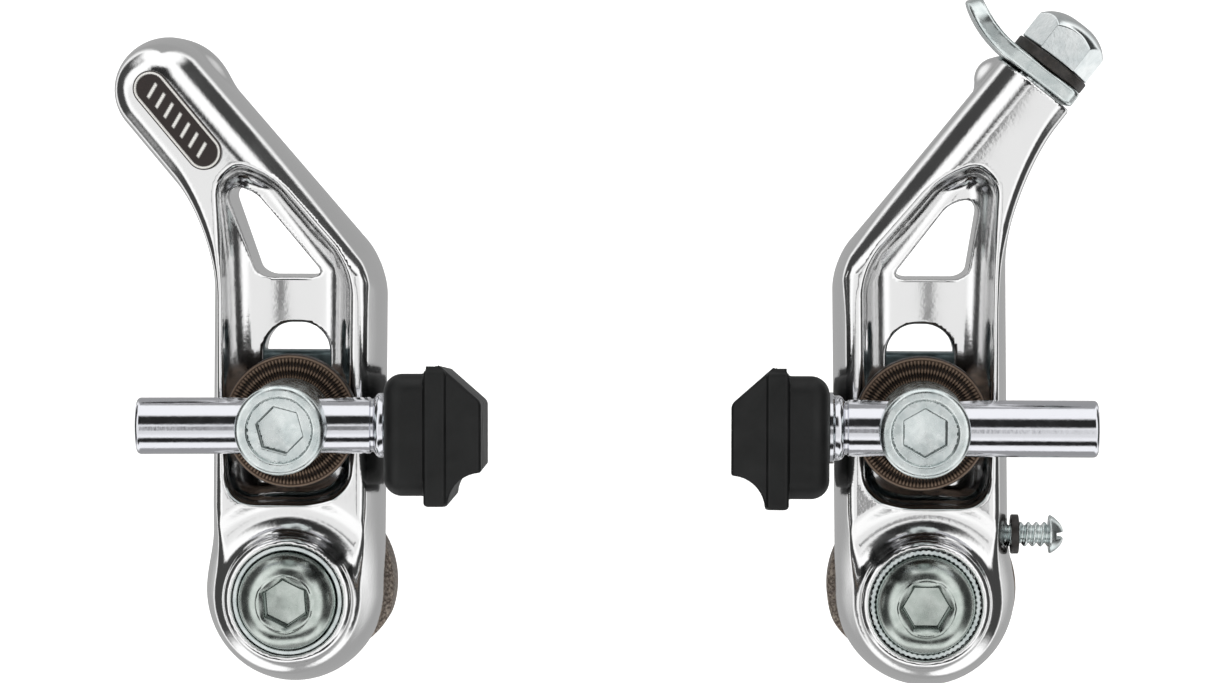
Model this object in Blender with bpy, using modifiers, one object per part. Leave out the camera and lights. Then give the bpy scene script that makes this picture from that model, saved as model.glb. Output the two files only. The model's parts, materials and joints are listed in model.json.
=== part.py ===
"""Pair of cantilever rim brake arms, as they stand on the two bosses of a fork.

Lengths below are in millimetres, and MM turns them into Blender's metres. Each side is drawn
from its own pivot: x runs inwards to the wheel, z runs up, and front runs forwards, away from
the fork (world -Y). The world origin is midway between the two pivots, where the bosses' seats
are, so front 0 is the plane of those seats.
"""

import math
from collections import namedtuple

import bmesh
import bpy
from mathutils import Matrix, Quaternion, Vector

MM = 0.001

# Standard fit: cantilever bosses 80 apart, 8 studs, M6 bolts and pads on 7 posts.
BOSS_SPACING = 80.0
STUD_BORE = 4.05
M6_RADIUS = 3.0
POST_RADIUS = 3.5
GAP = 0.3

# Arm, from back to front.
ARM_BACK = 6.6
WEB_BACK = 9.0
WEB_FRONT = 14.0
RIB_FRONT = 18.0
BOSS_FRONT = 20.0
SPRING_ROOF = 15.0
BORE_FRONT = 17.1
LOBE_RADIUS = 11.26
BOSS_RADIUS = 8.65
WELL_RADIUS = 7.0
SLEEVE_RADIUS = 6.5
SPRING_ROOM = 9.2
EDGE_ROUND = 1.7

# Pivot stack.
BUSHING_RADIUS = 4.95
BUSHING_FRONT = 17.4
ARM_BORE = BUSHING_RADIUS + GAP
HOLDER_RADIUS = 12.1
HOLDER_BACK = 0.3
WIRE_RADIUS = 0.75
SPRING_RADIUS = 7.85
SPRING_TURNS = 3.5
WASHER_RADIUS = 6.65
BOLT_RADIUS = 6.2
BOLT_BACK = 7.0
SOCKET_RADIUS = 5.0 / math.sqrt(3.0)

# Pad clamp: the eye bolt's axis and what is stacked on it.
CLAMP = (0.7, 22.7)
POST_FRONT = 25.2
EYE_RADIUS = 5.3
EYE_FRONT = 31.0
DISC_RADIUS = 8.35
DISC_FRONT = 20.5
SLOT_HALF = 4.55
BLOCK_HALF = 6.5
BLOCK_TALL = 7.9
BLOCK_BACK = 5.6

# Shoe: the post, its plate and the rubber pad.
PAD_LENGTH = 55.0
PAD_THICK = 11.4
PAD_LOW = -9.24
SHOE_PITCH = math.radians(5.5)
PLATE_INSET = 1.9
PLATE_THICK = 1.8
PLATE_TALL = 8.0
PLATE_LENGTH = 40.0

# Arm heads.
HEAD_CENTRE = (-16.3, 63.9)
HEAD_RADIUS = 6.6
ANCHOR_CENTRE = (-13.9, 64.4)
ANCHOR_AXIS = (-0.61, 0.79)
NECK_FRONT = 12.3
NECK_RADIUS = 5.45
ANCHOR_HOLE = 2.8
ADJUSTER_Z = 7.8
ADJUSTER_FRONT = 11.0

FORWARDS = Vector((0.0, -1.0, 0.0))
MERGE = 0.00001

# Each side's inward direction, where its pad's back and its post's outer end lie, and its shoe's toe-in.
Side = namedtuple("Side", "name pivot inward pad_back post_end toe")
LEFT = Side("left", -BOSS_SPACING / 2.0, 1.0, 13.9, -17.6, math.radians(3.5))
RIGHT = Side("right", BOSS_SPACING / 2.0, -1.0, 12.6, -20.6, 0.0)

PARTS = "rim_brake_caliper"
CUTTERS = "cutters"

FINISHES = {
    "polished_aluminium": ("#C9CBCD", 1.0, 0.12),
    "zinc_plate": ("#B9C4C6", 1.0, 0.3),
    "chrome_plate": ("#D5D6D8", 1.0, 0.06),
    "bronze_disc": ("#5A4B40", 0.8, 0.5),
    "spring_steel": ("#8E8E8E", 1.0, 0.35),
    "bushing_steel": ("#A6A6A2", 1.0, 0.3),
    "holder_resin": ("#6B5D50", 0.0, 0.65),
    "black_rubber": ("#1B1B1C", 0.0, 0.6),
    "black_resin": ("#231F1C", 0.0, 0.45),
    "badge_film": ("#3A302C", 0.0, 0.4),
}


def clear_scene():
    """Empties the scene, so that the model starts from nothing."""
    for obj in list(bpy.data.objects):
        bpy.data.objects.remove(obj, do_unlink=True)
    for name in (PARTS, CUTTERS):
        bpy.context.scene.collection.children.link(bpy.data.collections.new(name))


def linear(value):
    """One sRGB channel, 0 to 255, as the linear value that Blender's shaders take."""
    share = value / 255.0
    return share / 12.92 if share <= 0.04045 else ((share + 0.055) / 1.055) ** 2.4


def make_finishes():
    """One Principled material for each finish."""
    for name, (colour, metallic, roughness) in FINISHES.items():
        material = bpy.data.materials.new(name)
        material.use_nodes = True
        shader = material.node_tree.nodes["Principled BSDF"]
        channels = [linear(int(colour[i:i + 2], 16)) for i in (1, 3, 5)]
        shader.inputs["Base Color"].default_value = (*channels, 1.0)
        shader.inputs["Metallic"].default_value = metallic
        shader.inputs["Roughness"].default_value = roughness


def place(side, x, z, front=0.0):
    """World point, in metres, of a place measured from a side's pivot."""
    return Vector((side.pivot + side.inward * x, -front, z)) * MM


def heading(side, x, z):
    """World direction of a local direction in the plane of the arms."""
    return Vector((side.inward * x, 0.0, z)).normalized()


def aligned(obj, side):
    """Turns a shoe's shape about its clamp: its front end up by its pitch, and in to the rim by its toe."""
    centre = place(side, *CLAMP, front=POST_FRONT)
    turn = Matrix.Rotation(side.inward * side.toe, 4, "Z") @ Matrix.Rotation(-SHOE_PITCH, 4, "X")
    obj.matrix_basis = Matrix.Translation(centre) @ turn @ Matrix.Translation(-centre) @ obj.matrix_basis
    return obj


def finish(obj, finish_name):
    """Gives a part its material."""
    obj.data.materials.clear()
    obj.data.materials.append(bpy.data.materials[finish_name])
    return obj


def as_part(obj):
    """Puts a shape among the parts."""
    bpy.data.collections[PARTS].objects.link(obj)
    return obj


def as_cutter(obj):
    """Puts a shape among the cutters, which only shape the parts."""
    bpy.data.collections[CUTTERS].objects.link(obj)
    obj.hide_render = True
    obj.display_type = "WIRE"
    return obj


def turned(name, centre, direction, profile, steps=32):
    """A turned solid: (radius, height) pairs from the top down its outer side."""
    mesh = bpy.data.meshes.new(name)
    edges = [(i, i + 1) for i in range(len(profile) - 1)]
    if profile[0][0] > 0.0:
        edges.append((len(profile) - 1, 0))
    mesh.from_pydata([(r * MM, 0.0, h * MM) for r, h in profile], edges, [])
    obj = bpy.data.objects.new(name, mesh)
    obj.location = centre
    obj.rotation_mode = "QUATERNION"
    obj.rotation_quaternion = Vector((0.0, 0.0, 1.0)).rotation_difference(direction)
    screw = obj.modifiers.new("Turn", "SCREW")
    screw.axis = "Z"
    screw.steps = steps
    screw.render_steps = steps
    screw.use_merge_vertices = True
    screw.merge_threshold = MERGE
    return obj


def rod(name, centre, direction, radius, low, high, steps=24):
    """A plain turned rod between two heights."""
    return turned(name, centre, direction, [(0.0, high), (radius, high), (radius, low), (0.0, low)], steps)


def ring(name, centre, direction, bore, radius, low, high, steps=32):
    """A plain turned ring between two heights."""
    profile = [(radius, high), (radius, low), (bore, low), (bore, high)]
    return turned(name, centre, direction, profile, steps)


def hexagon(name, centre, direction, radius, low, high, turn=0.0):
    """A six-sided bar between two heights, radius to its corners, turned by degrees about its axis."""
    middle = centre + direction * ((low + high) / 2.0 * MM)
    bpy.ops.mesh.primitive_cylinder_add(
        vertices=6, radius=radius * MM, depth=(high - low) * MM, location=middle
    )
    obj = bpy.context.object
    obj.name = name
    obj.rotation_mode = "QUATERNION"
    twist = Quaternion((0.0, 0.0, 1.0), math.radians(turn))
    obj.rotation_quaternion = Vector((0.0, 0.0, 1.0)).rotation_difference(direction) @ twist
    bpy.context.collection.objects.unlink(obj)
    return obj


def box(name, side, x_range, front_range, z_range):
    """A box between local corners."""
    middles = [(low + high) / 2.0 for low, high in (x_range, z_range, front_range)]
    bpy.ops.mesh.primitive_cube_add(size=1.0, location=place(side, *middles))
    obj = bpy.context.object
    obj.name = name
    sizes = [(high - low) * MM for low, high in (x_range, front_range, z_range)]
    for vertex in obj.data.vertices:
        vertex.co = [length * size for length, size in zip(vertex.co, sizes)]
    bpy.context.collection.objects.unlink(obj)
    return obj


def rounded(corners):
    """Outline through (x, z, radius) corners, each turned by an arc of its radius."""
    outline = []
    for i, (x, z, radius) in enumerate(corners):
        here = Vector((x, z))
        before = (Vector(corners[i - 1][:2]) - here).normalized()
        after = (Vector(corners[(i + 1) % len(corners)][:2]) - here).normalized()
        half = before.angle(after) / 2.0
        centre = here + (before + after).normalized() * (radius / math.sin(half))
        start = here + before * (radius / math.tan(half)) - centre
        end = here + after * (radius / math.tan(half)) - centre
        sweep = start.angle_signed(end)
        count = max(2, math.ceil(abs(sweep) / math.radians(15.0)))
        first = math.atan2(start.y, start.x)
        for k in range(count + 1):
            angle = first - sweep * k / count
            outline.append((centre.x + radius * math.cos(angle), centre.y + radius * math.sin(angle)))
    return outline


def curve_mesh(obj):
    """Turns a curve object into a welded mesh object that stands in the same place."""
    bpy.context.scene.collection.objects.link(obj)
    graph = bpy.context.evaluated_depsgraph_get()
    mesh = bpy.data.meshes.new_from_object(obj.evaluated_get(graph))
    work = bmesh.new()
    work.from_mesh(mesh)
    bmesh.ops.remove_doubles(work, verts=work.verts, dist=MERGE)
    bmesh.ops.recalc_face_normals(work, faces=work.faces)
    work.to_mesh(mesh)
    work.free()
    solid = bpy.data.objects.new("solid", mesh)
    solid.matrix_world = obj.evaluated_get(graph).matrix_world.copy()
    name = obj.name
    bpy.data.objects.remove(obj, do_unlink=True)
    solid.name = name
    return solid


def slab(name, side, outline, back, front, centre=(0.0, 0.0)):
    """A flat outline made thick between two front distances, with its origin at centre."""
    curve = bpy.data.curves.new(name, "CURVE")
    curve.dimensions = "2D"
    curve.fill_mode = "BOTH"
    curve.extrude = (front - back) / 2.0 * MM
    spline = curve.splines.new("POLY")
    spline.points.add(len(outline) - 1)
    for point, (x, z) in zip(spline.points, outline):
        point.co = (side.inward * (x - centre[0]) * MM, (z - centre[1]) * MM, 0.0, 1.0)
    spline.use_cyclic_u = True
    obj = bpy.data.objects.new(name, curve)
    obj.rotation_euler = (math.pi / 2.0, 0.0, 0.0)
    obj.location = place(side, *centre, front=(front + back) / 2.0)
    return curve_mesh(obj)


def combine(obj, other, operation="DIFFERENCE"):
    """Cuts, joins or trims a part with another shape, which goes among the cutters."""
    as_cutter(other)
    boolean = obj.modifiers.new(other.name, "BOOLEAN")
    boolean.operation = operation
    boolean.object = other
    return obj


def soften(obj, width, segments=2):
    """Rounds the sharp edges of a part."""
    bevel = obj.modifiers.new("Soft edges", "BEVEL")
    bevel.width = width * MM
    bevel.segments = segments
    bevel.limit_method = "ANGLE"
    bevel.angle_limit = math.radians(50.0)
    return obj


# ---- Arms ----


def lobe_corners():
    """The round lower end, as two corners whose arcs meet below the pivot."""
    return [(11.7, -LOBE_RADIUS, 11.0), (-10.4, -LOBE_RADIUS, 11.0)]


def left_outline():
    """Left arm: a straight leg, bent outwards to a round head."""
    reach_x, reach_z = HEAD_RADIUS * -0.64, HEAD_RADIUS * 0.77
    outer = (HEAD_CENTRE[0] + reach_x - reach_z, HEAD_CENTRE[1] + reach_z + reach_x)
    inner = (HEAD_CENTRE[0] + reach_x + reach_z, HEAD_CENTRE[1] + reach_z - reach_x)
    corners = lobe_corners()
    corners += [(-10.1, 46.9, 16.0), (*outer, 6.4), (*inner, 6.4), (11.7, 42.5, 7.0)]
    return rounded(corners)


def right_outline():
    """Right arm: the same leg, with a narrower neck cut square for the cable anchor."""
    middle, axis = Vector(ANCHOR_CENTRE), Vector(ANCHOR_AXIS).normalized()
    across = Vector((axis.y, -axis.x)) * NECK_RADIUS
    outer, inner = middle - across, middle + across
    corners = lobe_corners()
    corners += [(-10.3, 50.6, 25.0), (*outer, 0.6), (*inner, 0.6), (11.7, 41.0, 4.0)]
    return rounded(corners)


def window():
    """The three-cornered hole above the bridge."""
    return rounded([(-7.2, 51.6, 1.6), (-5.0, 39.7, 1.6), (5.2, 39.7, 1.8), (-4.4, 51.6, 1.6)])


def slot():
    """The long hole that the eye bolt slides in."""
    left, right = CLAMP[0] - SLOT_HALF, CLAMP[0] + SLOT_HALF
    return rounded([(left, 15.6, 1.0), (right, 15.6, 1.0), (right, 34.6, 4.2), (left, 34.6, 4.2)])


def front_recess():
    """The shallow room between the ribs, which takes the seat washer and runs up round the window."""
    return rounded([
        (-7.5, 10.6, 5.5), (7.3, 10.6, 5.5), (7.5, 41.6, 2.5), (-3.0, 53.6, 2.0), (-8.4, 53.6, 2.0), (-7.3, 40.0, 20.0)
    ])


def rear_channel():
    """The room behind the web, where the slide block runs."""
    left, right = CLAMP[0] - BLOCK_HALF - 0.8, CLAMP[0] + BLOCK_HALF + 0.8
    return rounded([(left, 12.3, 2.0), (right, 12.3, 2.0), (right, 35.8, 2.0), (left, 35.8, 2.0)])


def rear_lobe(side, centre, radius):
    """The low round pad on the back of an arm's head."""
    return rod(f"{side.name}_rear_lobe", place(side, *centre), FORWARDS, radius, 4.4, 10.0)


def arm_blank(side, outline, lobe_centre, lobe_radius):
    """The forged arm before anything is cut: leg, boss and the lobe behind its head."""
    arm = as_part(slab(f"{side.name}_arm", side, outline, ARM_BACK, RIB_FRONT))
    soften(arm, EDGE_ROUND)
    boss = [(0.0, BOSS_FRONT), (BOSS_RADIUS - 0.7, BOSS_FRONT), (BOSS_RADIUS, BOSS_FRONT - 0.8),
            (BOSS_RADIUS + 0.9, WEB_FRONT), (0.0, WEB_FRONT)]
    combine(arm, turned(f"{side.name}_boss", place(side, 0, 0), FORWARDS, boss), "UNION")
    combine(arm, rear_lobe(side, lobe_centre, lobe_radius), "UNION")
    return finish(arm, "polished_aluminium")


def cut_arm(arm, side):
    """Cuts the windows, the recesses and the pivot's bores that both arms have."""
    pivot = place(side, 0, 0)
    combine(arm, slab(f"{side.name}_window_cut", side, window(), 0.0, 30.0))
    combine(arm, slab(f"{side.name}_slot_cut", side, slot(), 0.0, 30.0))
    combine(arm, slab(f"{side.name}_recess_cut", side, front_recess(), WEB_FRONT, 30.0))
    combine(arm, slab(f"{side.name}_channel_cut", side, rear_channel(), 0.0, WEB_BACK))
    combine(arm, rod(f"{side.name}_bore_cut", pivot, FORWARDS, ARM_BORE, 0.0, 30.0, 32))
    combine(arm, rod(f"{side.name}_well_cut", pivot, FORWARDS, WELL_RADIUS, BORE_FRONT, 30.0, 32))
    combine(arm, ring(f"{side.name}_spring_cut", pivot, FORWARDS, SLEEVE_RADIUS, SPRING_ROOM, 0.0, SPRING_ROOF))


def left_arm():
    """Left arm, with the pocket in the back of its head that holds the link wire's end."""
    arm = arm_blank(LEFT, left_outline(), (-13.8, 65.4), 5.0)
    cut_arm(arm, LEFT)
    pocket = place(LEFT, -14.6, 64.6)
    combine(arm, rod("left_nipple_cut", pocket, FORWARDS, 3.2, 0.0, 9.5))
    combine(arm, box("left_wire_cut", LEFT, (-15.6, -13.6), (0.0, 8.0), (64.6, 80.0)))
    return arm


def right_arm():
    """Right arm, with the anchor bolt's hole down its neck and the adjuster's hole in its side."""
    arm = arm_blank(RIGHT, right_outline(), (-9.2, 64.0), 2.9)
    cut_arm(arm, RIGHT)
    neck = place(RIGHT, *ANCHOR_CENTRE, front=NECK_FRONT)
    combine(arm, rod("right_anchor_cut", neck, heading(RIGHT, *ANCHOR_AXIS), ANCHOR_HOLE, -11.5, 8.0))
    side_hole = place(RIGHT, -9.0, ADJUSTER_Z, front=ADJUSTER_FRONT)
    combine(arm, rod("right_adjuster_cut", side_hole, heading(RIGHT, -1, 0), 1.9, -3.9, 4.0, 16))
    return arm


# ---- Pivot stack ----


def pivot_bushing(side):
    bushing = ring(f"{side.name}_pivot_bushing", place(side, 0, 0), FORWARDS,
                   STUD_BORE, BUSHING_RADIUS, 0.0, BUSHING_FRONT)
    return finish(as_part(bushing), "bushing_steel")


def spring_holder(side):
    """Moulded disc behind the arm, with a round groove for the spring's back end."""
    bore, front = BUSHING_RADIUS + GAP, ARM_BACK - GAP
    inner, outer = SPRING_RADIUS - 1.1, SPRING_RADIUS + 1.1
    profile = [
        (HOLDER_RADIUS - 0.6, front), (HOLDER_RADIUS, front - 0.6), (HOLDER_RADIUS, HOLDER_BACK),
        (bore, HOLDER_BACK), (bore, front), (inner, front), (inner, 3.4), (outer, 3.4), (outer, front)
    ]
    holder = turned(f"{side.name}_spring_holder", place(side, 0, 0), FORWARDS, profile)
    return finish(as_part(holder), "holder_resin")


def return_spring(side):
    """Round wire wound about the sleeve, its back end running straight into the holder."""
    pitch = 2.0 * WIRE_RADIUS + 0.25
    steps = round(SPRING_TURNS * 14)
    points = []
    for k in range(steps + 1):
        angle = 2.0 * math.pi * SPRING_TURNS * k / steps
        front = 7.6 + pitch * SPRING_TURNS * k / steps
        points.append((side.inward * SPRING_RADIUS * math.cos(angle), -front, SPRING_RADIUS * math.sin(angle)))
    points.insert(0, (side.inward * SPRING_RADIUS, -4.2, -0.4))
    curve = bpy.data.curves.new(f"{side.name}_return_spring", "CURVE")
    curve.dimensions = "3D"
    curve.bevel_depth = WIRE_RADIUS * MM
    curve.bevel_resolution = 1
    curve.use_fill_caps = True
    spline = curve.splines.new("POLY")
    spline.points.add(len(points) - 1)
    for point, spot in zip(spline.points, points):
        point.co = (*[value * MM for value in spot], 1.0)
    obj = bpy.data.objects.new(f"{side.name}_return_spring", curve)
    obj.location = place(side, 0, 0)
    return finish(as_part(curve_mesh(obj)), "spring_steel")


def fixing_bolt(side):
    """M6 bolt with a domed head and a hexagon socket in a shallow well."""
    back = BUSHING_FRONT + 2.0 * GAP + 1.0 + GAP
    profile = [
        (0.0, 22.3), (3.75, 22.3), (3.95, 23.0), (4.8, 22.5), (5.7, 21.4), (BOLT_RADIUS, 20.2),
        (BOLT_RADIUS, back), (M6_RADIUS, back), (M6_RADIUS, BOLT_BACK), (0.0, BOLT_BACK)
    ]
    bolt = as_part(turned(f"{side.name}_fixing_bolt", place(side, 0, 0), FORWARDS, profile))
    combine(bolt, hexagon(f"{side.name}_fixing_socket", place(side, 0, 0), FORWARDS, SOCKET_RADIUS, 19.8, 26.0))
    return finish(bolt, "zinc_plate")


def fixing_washer(side):
    back = BUSHING_FRONT + GAP
    washer = ring(f"{side.name}_fixing_washer", place(side, 0, 0), FORWARDS,
                  M6_RADIUS + GAP, WASHER_RADIUS, back, back + 1.0)
    return finish(as_part(washer), "zinc_plate")


# ---- Pad clamp ----


def eye_bolt(side):
    """Round head with a cross hole for the post and a socket in front, and a stud behind."""
    centre = place(side, *CLAMP)
    profile = [
        (0.0, EYE_FRONT - 1.1), (3.7, EYE_FRONT - 1.1), (3.9, EYE_FRONT), (EYE_RADIUS - 0.7, EYE_FRONT),
        (EYE_RADIUS, EYE_FRONT - 0.7), (EYE_RADIUS, DISC_FRONT + GAP), (M6_RADIUS, DISC_FRONT + GAP),
        (M6_RADIUS, 1.2), (0.0, 1.2)
    ]
    bolt = as_part(turned(f"{side.name}_eye_bolt", centre, FORWARDS, profile))
    cross = place(side, *CLAMP, front=POST_FRONT)
    hole = rod(f"{side.name}_cross_cut", cross, heading(side, 1, 0), POST_RADIUS + GAP, -9.0, 9.0)
    combine(bolt, aligned(hole, side))
    combine(bolt, hexagon(f"{side.name}_eye_socket", centre, FORWARDS, SOCKET_RADIUS, EYE_FRONT - 1.9, 35.0))
    return finish(bolt, "zinc_plate")


def knurled_washer(side):
    disc = ring(f"{side.name}_knurled_washer", place(side, *CLAMP), FORWARDS,
                M6_RADIUS + GAP, DISC_RADIUS, RIB_FRONT + GAP, DISC_FRONT)
    return finish(as_part(disc), "bronze_disc")


def seat_washer(side):
    """Cupped washer between the knurled disc and the web."""
    back, front = WEB_FRONT + GAP, RIB_FRONT
    profile = [(6.3, front), (6.3, back), (M6_RADIUS + GAP, back), (M6_RADIUS + GAP, front - 1.0), (5.2, front)]
    washer = turned(f"{side.name}_seat_washer", place(side, *CLAMP), FORWARDS, profile)
    return finish(as_part(washer), "bronze_disc")


def rear_slide_block(side):
    """Block behind the web whose square boss keeps it straight in the slot."""
    x, z = CLAMP
    centre = place(side, x, z)
    outline = rounded([
        (x - BLOCK_HALF, z - BLOCK_TALL, 1.0), (x + BLOCK_HALF, z - BLOCK_TALL, 1.0),
        (x + BLOCK_HALF, z + BLOCK_TALL, 1.0), (x - BLOCK_HALF, z + BLOCK_TALL, 1.0)
    ])
    block = as_part(slab(f"{side.name}_rear_slide_block", side, outline, BLOCK_BACK, WEB_BACK - GAP, CLAMP))
    half = SLOT_HALF - GAP
    boss = box(f"{side.name}_slide_boss", side, (x - half, x + half),
               (BLOCK_BACK + 1.0, WEB_FRONT - GAP), (z - half, z + half))
    combine(block, boss, "UNION")
    combine(block, rod(f"{side.name}_block_bore", centre, FORWARDS, M6_RADIUS + GAP, 0.0, 20.0))
    return finish(block, "bushing_steel")


def clamp_nut(side):
    """M6 hexagon nut, 10 across its flats."""
    centre = place(side, *CLAMP)
    nut = as_part(hexagon(f"{side.name}_clamp_nut", centre, FORWARDS, 10.0 / math.sqrt(3.0), 1.8, BLOCK_BACK - GAP))
    combine(nut, rod(f"{side.name}_nut_bore", centre, FORWARDS, M6_RADIUS + GAP, 0.0, 8.0))
    return finish(nut, "zinc_plate")


# ---- Shoes ----


def shoe_post(side):
    """Smooth post with a cone against the pad and a neck that runs through to the plate."""
    inside = side.pad_back + PLATE_INSET - GAP
    profile = [
        (0.0, inside), (3.0, inside), (3.0, side.pad_back - GAP), (4.4, side.pad_back - GAP),
        (3.8, side.pad_back - 2.0), (POST_RADIUS, side.pad_back - 2.2), (POST_RADIUS, side.post_end + 0.5),
        (POST_RADIUS - 0.5, side.post_end), (0.0, side.post_end)
    ]
    shifted = [(radius, x - CLAMP[0]) for radius, x in profile]
    centre = place(side, *CLAMP, front=POST_FRONT)
    post = turned(f"{side.name}_shoe_post", centre, heading(side, 1, 0), shifted)
    return finish(as_part(aligned(post, side)), "chrome_plate")


def backing_plate(side):
    """Steel plate inside the rubber, which stiffens the pad."""
    low = side.pad_back + PLATE_INSET
    z = CLAMP[1]
    plate = box(f"{side.name}_backing_plate", side, (low, low + PLATE_THICK),
                (POST_FRONT - PLATE_LENGTH / 2.0, POST_FRONT + PLATE_LENGTH / 2.0),
                (z - PLATE_TALL / 2.0, z + PLATE_TALL / 2.0))
    return finish(as_part(aligned(plate, side)), "spring_steel")


def pad_outline(side):
    """The pad's section: back body, lip, tapered top, braking face and the hollow under it."""
    back, low = side.pad_back, CLAMP[1] + PAD_LOW
    face = back + PAD_THICK
    hollow = 3.8
    upper = [(0.0, 1.2, 1.6), (4.7, 1.2, 0.2), (4.7, 0.0, 0.4), (PAD_THICK - hollow, 0.0, 0.3)]
    points = rounded([(back + x, low + z, radius) for x, z, radius in upper]
                     + [(face, low + hollow, 0.3), (face, low + 12.6, 0.4), (back + 7.2, low + 15.9, 0.5),
                        (back + 4.7, low + 15.9, 0.4), (back, low + 15.5, 1.6)])
    corner_to_face = [
        (face - hollow * math.cos(angle), low + hollow * math.sin(angle))
        for angle in [math.radians(15.0 * k) for k in range(1, 6)]
    ]
    after = next(i for i, (x, z) in enumerate(points) if x > face - hollow + 0.5)
    return points[:after] + corner_to_face + points[after:]


def brake_pad(side):
    """Rubber pad, moulded about its plate, with the post's hole in its back."""
    z = CLAMP[1]
    half = PAD_LENGTH / 2.0
    pad = slab(f"{side.name}_brake_pad", side, pad_outline(side), POST_FRONT - half, POST_FRONT + half, CLAMP)
    as_part(aligned(pad, side))
    low = side.pad_back + PLATE_INSET - GAP
    room = box(f"{side.name}_plate_room", side, (low, low + PLATE_THICK + 2.0 * GAP),
               (POST_FRONT - PLATE_LENGTH / 2.0 - GAP, POST_FRONT + PLATE_LENGTH / 2.0 + GAP),
               (z - PLATE_TALL / 2.0 - GAP, z + PLATE_TALL / 2.0 + GAP))
    combine(pad, aligned(room, side))
    mouth = place(side, side.pad_back, z, front=POST_FRONT)
    hole = rod(f"{side.name}_post_hole", mouth, heading(side, 1, 0), M6_RADIUS + GAP, -2.0, PLATE_INSET)
    combine(pad, aligned(hole, side))
    return finish(pad, "black_rubber")


# ---- Left arm's badge ----


def badge():
    """Plain oval plate on the front of the left arm's head."""
    centre_x, centre_z = -13.6, 60.6
    along = Vector((-0.64, 0.77)) * 4.9
    across = Vector((0.77, 0.64)) * 2.1
    middle = Vector((centre_x, centre_z))
    corners = [middle - along - across, middle + along - across, middle + along + across, middle - along + across]
    spread = Vector((-0.64, 0.77)) * 2.1
    ends = [corners[0] - spread, corners[1] + spread, corners[2] + spread, corners[3] - spread]
    outline = rounded([(end.x, end.y, 2.09) for end in ends])
    plate = slab("left_badge", LEFT, outline, RIB_FRONT + GAP, RIB_FRONT + GAP + 0.5)
    return finish(as_part(plate), "badge_film")


# ---- Right arm's cable anchor and spring adjuster ----


def anchor_place():
    return place(RIGHT, *ANCHOR_CENTRE, front=NECK_FRONT)


def hook_plate():
    """Flat plate under the anchor bolt, with a finger that curls up round the cable."""
    axis = Vector(ANCHOR_AXIS).normalized()
    along = Vector((axis.y, -axis.x))
    middle = Vector(ANCHOR_CENTRE) + axis * (GAP + 1.08)
    bend, curl, straight, half = 15.0, math.radians(32.0), 4.5, 1.08
    upper, lower = [], []
    spine = [(-5.0, 0.0, 0.0)]
    for k in range(7):
        turn = curl * k / 6
        spine.append((straight + bend * math.sin(turn), bend * (1.0 - math.cos(turn)), turn))
    for run, rise, turn in spine:
        spot = middle + along * run + axis * rise
        normal = axis * math.cos(turn) - along * math.sin(turn)
        upper.append(spot + normal * half)
        lower.append(spot - normal * half)
    outline = [(spot.x, spot.y) for spot in upper + lower[::-1]]
    plate = as_part(slab("right_hook_plate", RIGHT, outline, NECK_FRONT - 4.8, NECK_FRONT + 4.8))
    combine(plate, rod("right_hook_bore", anchor_place(), heading(RIGHT, *ANCHOR_AXIS), ANCHOR_HOLE, -1.0, 6.0))
    return finish(plate, "zinc_plate")


def anchor_washer():
    washer = ring("right_anchor_washer", anchor_place(), heading(RIGHT, *ANCHOR_AXIS), ANCHOR_HOLE, 5.15, 2.8, 3.9)
    return finish(as_part(washer), "black_resin")


def anchor_bolt():
    """Hexagon bolt with a rounded top, screwed down the neck."""
    centre, axis = anchor_place(), heading(RIGHT, *ANCHOR_AXIS)
    bolt = as_part(hexagon("right_anchor_bolt", centre, axis, 4.95, 4.2, 9.1, 30.0))
    dome = [(0.0, 9.1), (3.3, 9.1), (4.5, 8.4), (4.95, 7.4), (4.95, 4.0), (0.0, 4.0)]
    combine(bolt, turned("right_bolt_dome", centre, axis, dome), "INTERSECT")
    combine(bolt, rod("right_bolt_shank", centre, axis, 2.5, -10.0, 5.0), "UNION")
    return finish(bolt, "zinc_plate")


def adjuster_ring():
    centre = place(RIGHT, -11.0, ADJUSTER_Z, front=ADJUSTER_FRONT)
    collar = ring("right_adjuster_ring", centre, heading(RIGHT, -1, 0), 1.9, 2.5, 0.0, 1.0, 24)
    return finish(as_part(collar), "black_resin")


def adjuster_screw():
    """Small pan-headed screw that winds the spring up, with a cross in its head."""
    centre, axis = place(RIGHT, -9.0, ADJUSTER_Z, front=ADJUSTER_FRONT), heading(RIGHT, -1, 0)
    profile = [
        (0.0, 8.8), (1.6, 8.7), (2.3, 8.2), (2.62, 7.3), (2.62, 6.8), (1.55, 6.8), (1.55, -3.0), (0.0, -3.0)
    ]
    screw = as_part(turned("right_adjuster_screw", centre, axis, profile, 20))
    for name, tall, wide in (("upright", 3.2, 0.7), ("level", 0.7, 3.2)):
        bar = box(f"right_cross_{name}", RIGHT, (-19.0, -16.9),
                  (ADJUSTER_FRONT - wide / 2.0, ADJUSTER_FRONT + wide / 2.0),
                  (ADJUSTER_Z - tall / 2.0, ADJUSTER_Z + tall / 2.0))
        combine(screw, bar)
    return finish(screw, "zinc_plate")


def build():
    clear_scene()
    make_finishes()
    left_arm()
    right_arm()
    for side in (LEFT, RIGHT):
        pivot_bushing(side)
        spring_holder(side)
        return_spring(side)
        fixing_bolt(side)
        fixing_washer(side)
        eye_bolt(side)
        knurled_washer(side)
        seat_washer(side)
        rear_slide_block(side)
        clamp_nut(side)
        shoe_post(side)
        backing_plate(side)
        brake_pad(side)
    badge()
    hook_plate()
    anchor_washer()
    anchor_bolt()
    adjuster_ring()
    adjuster_screw()


build()
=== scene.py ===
"""Looks of a pair of cantilever rim brake arms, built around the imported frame.

Every shape is worked out in millimetres from its own side's pivot: x runs inwards to the wheel,
y runs back to the fork and z runs up. The right side is the left one's mirror, so its x is turned
over and its faces with it. "Front" is the distance forwards, along minus y.
"""

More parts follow.
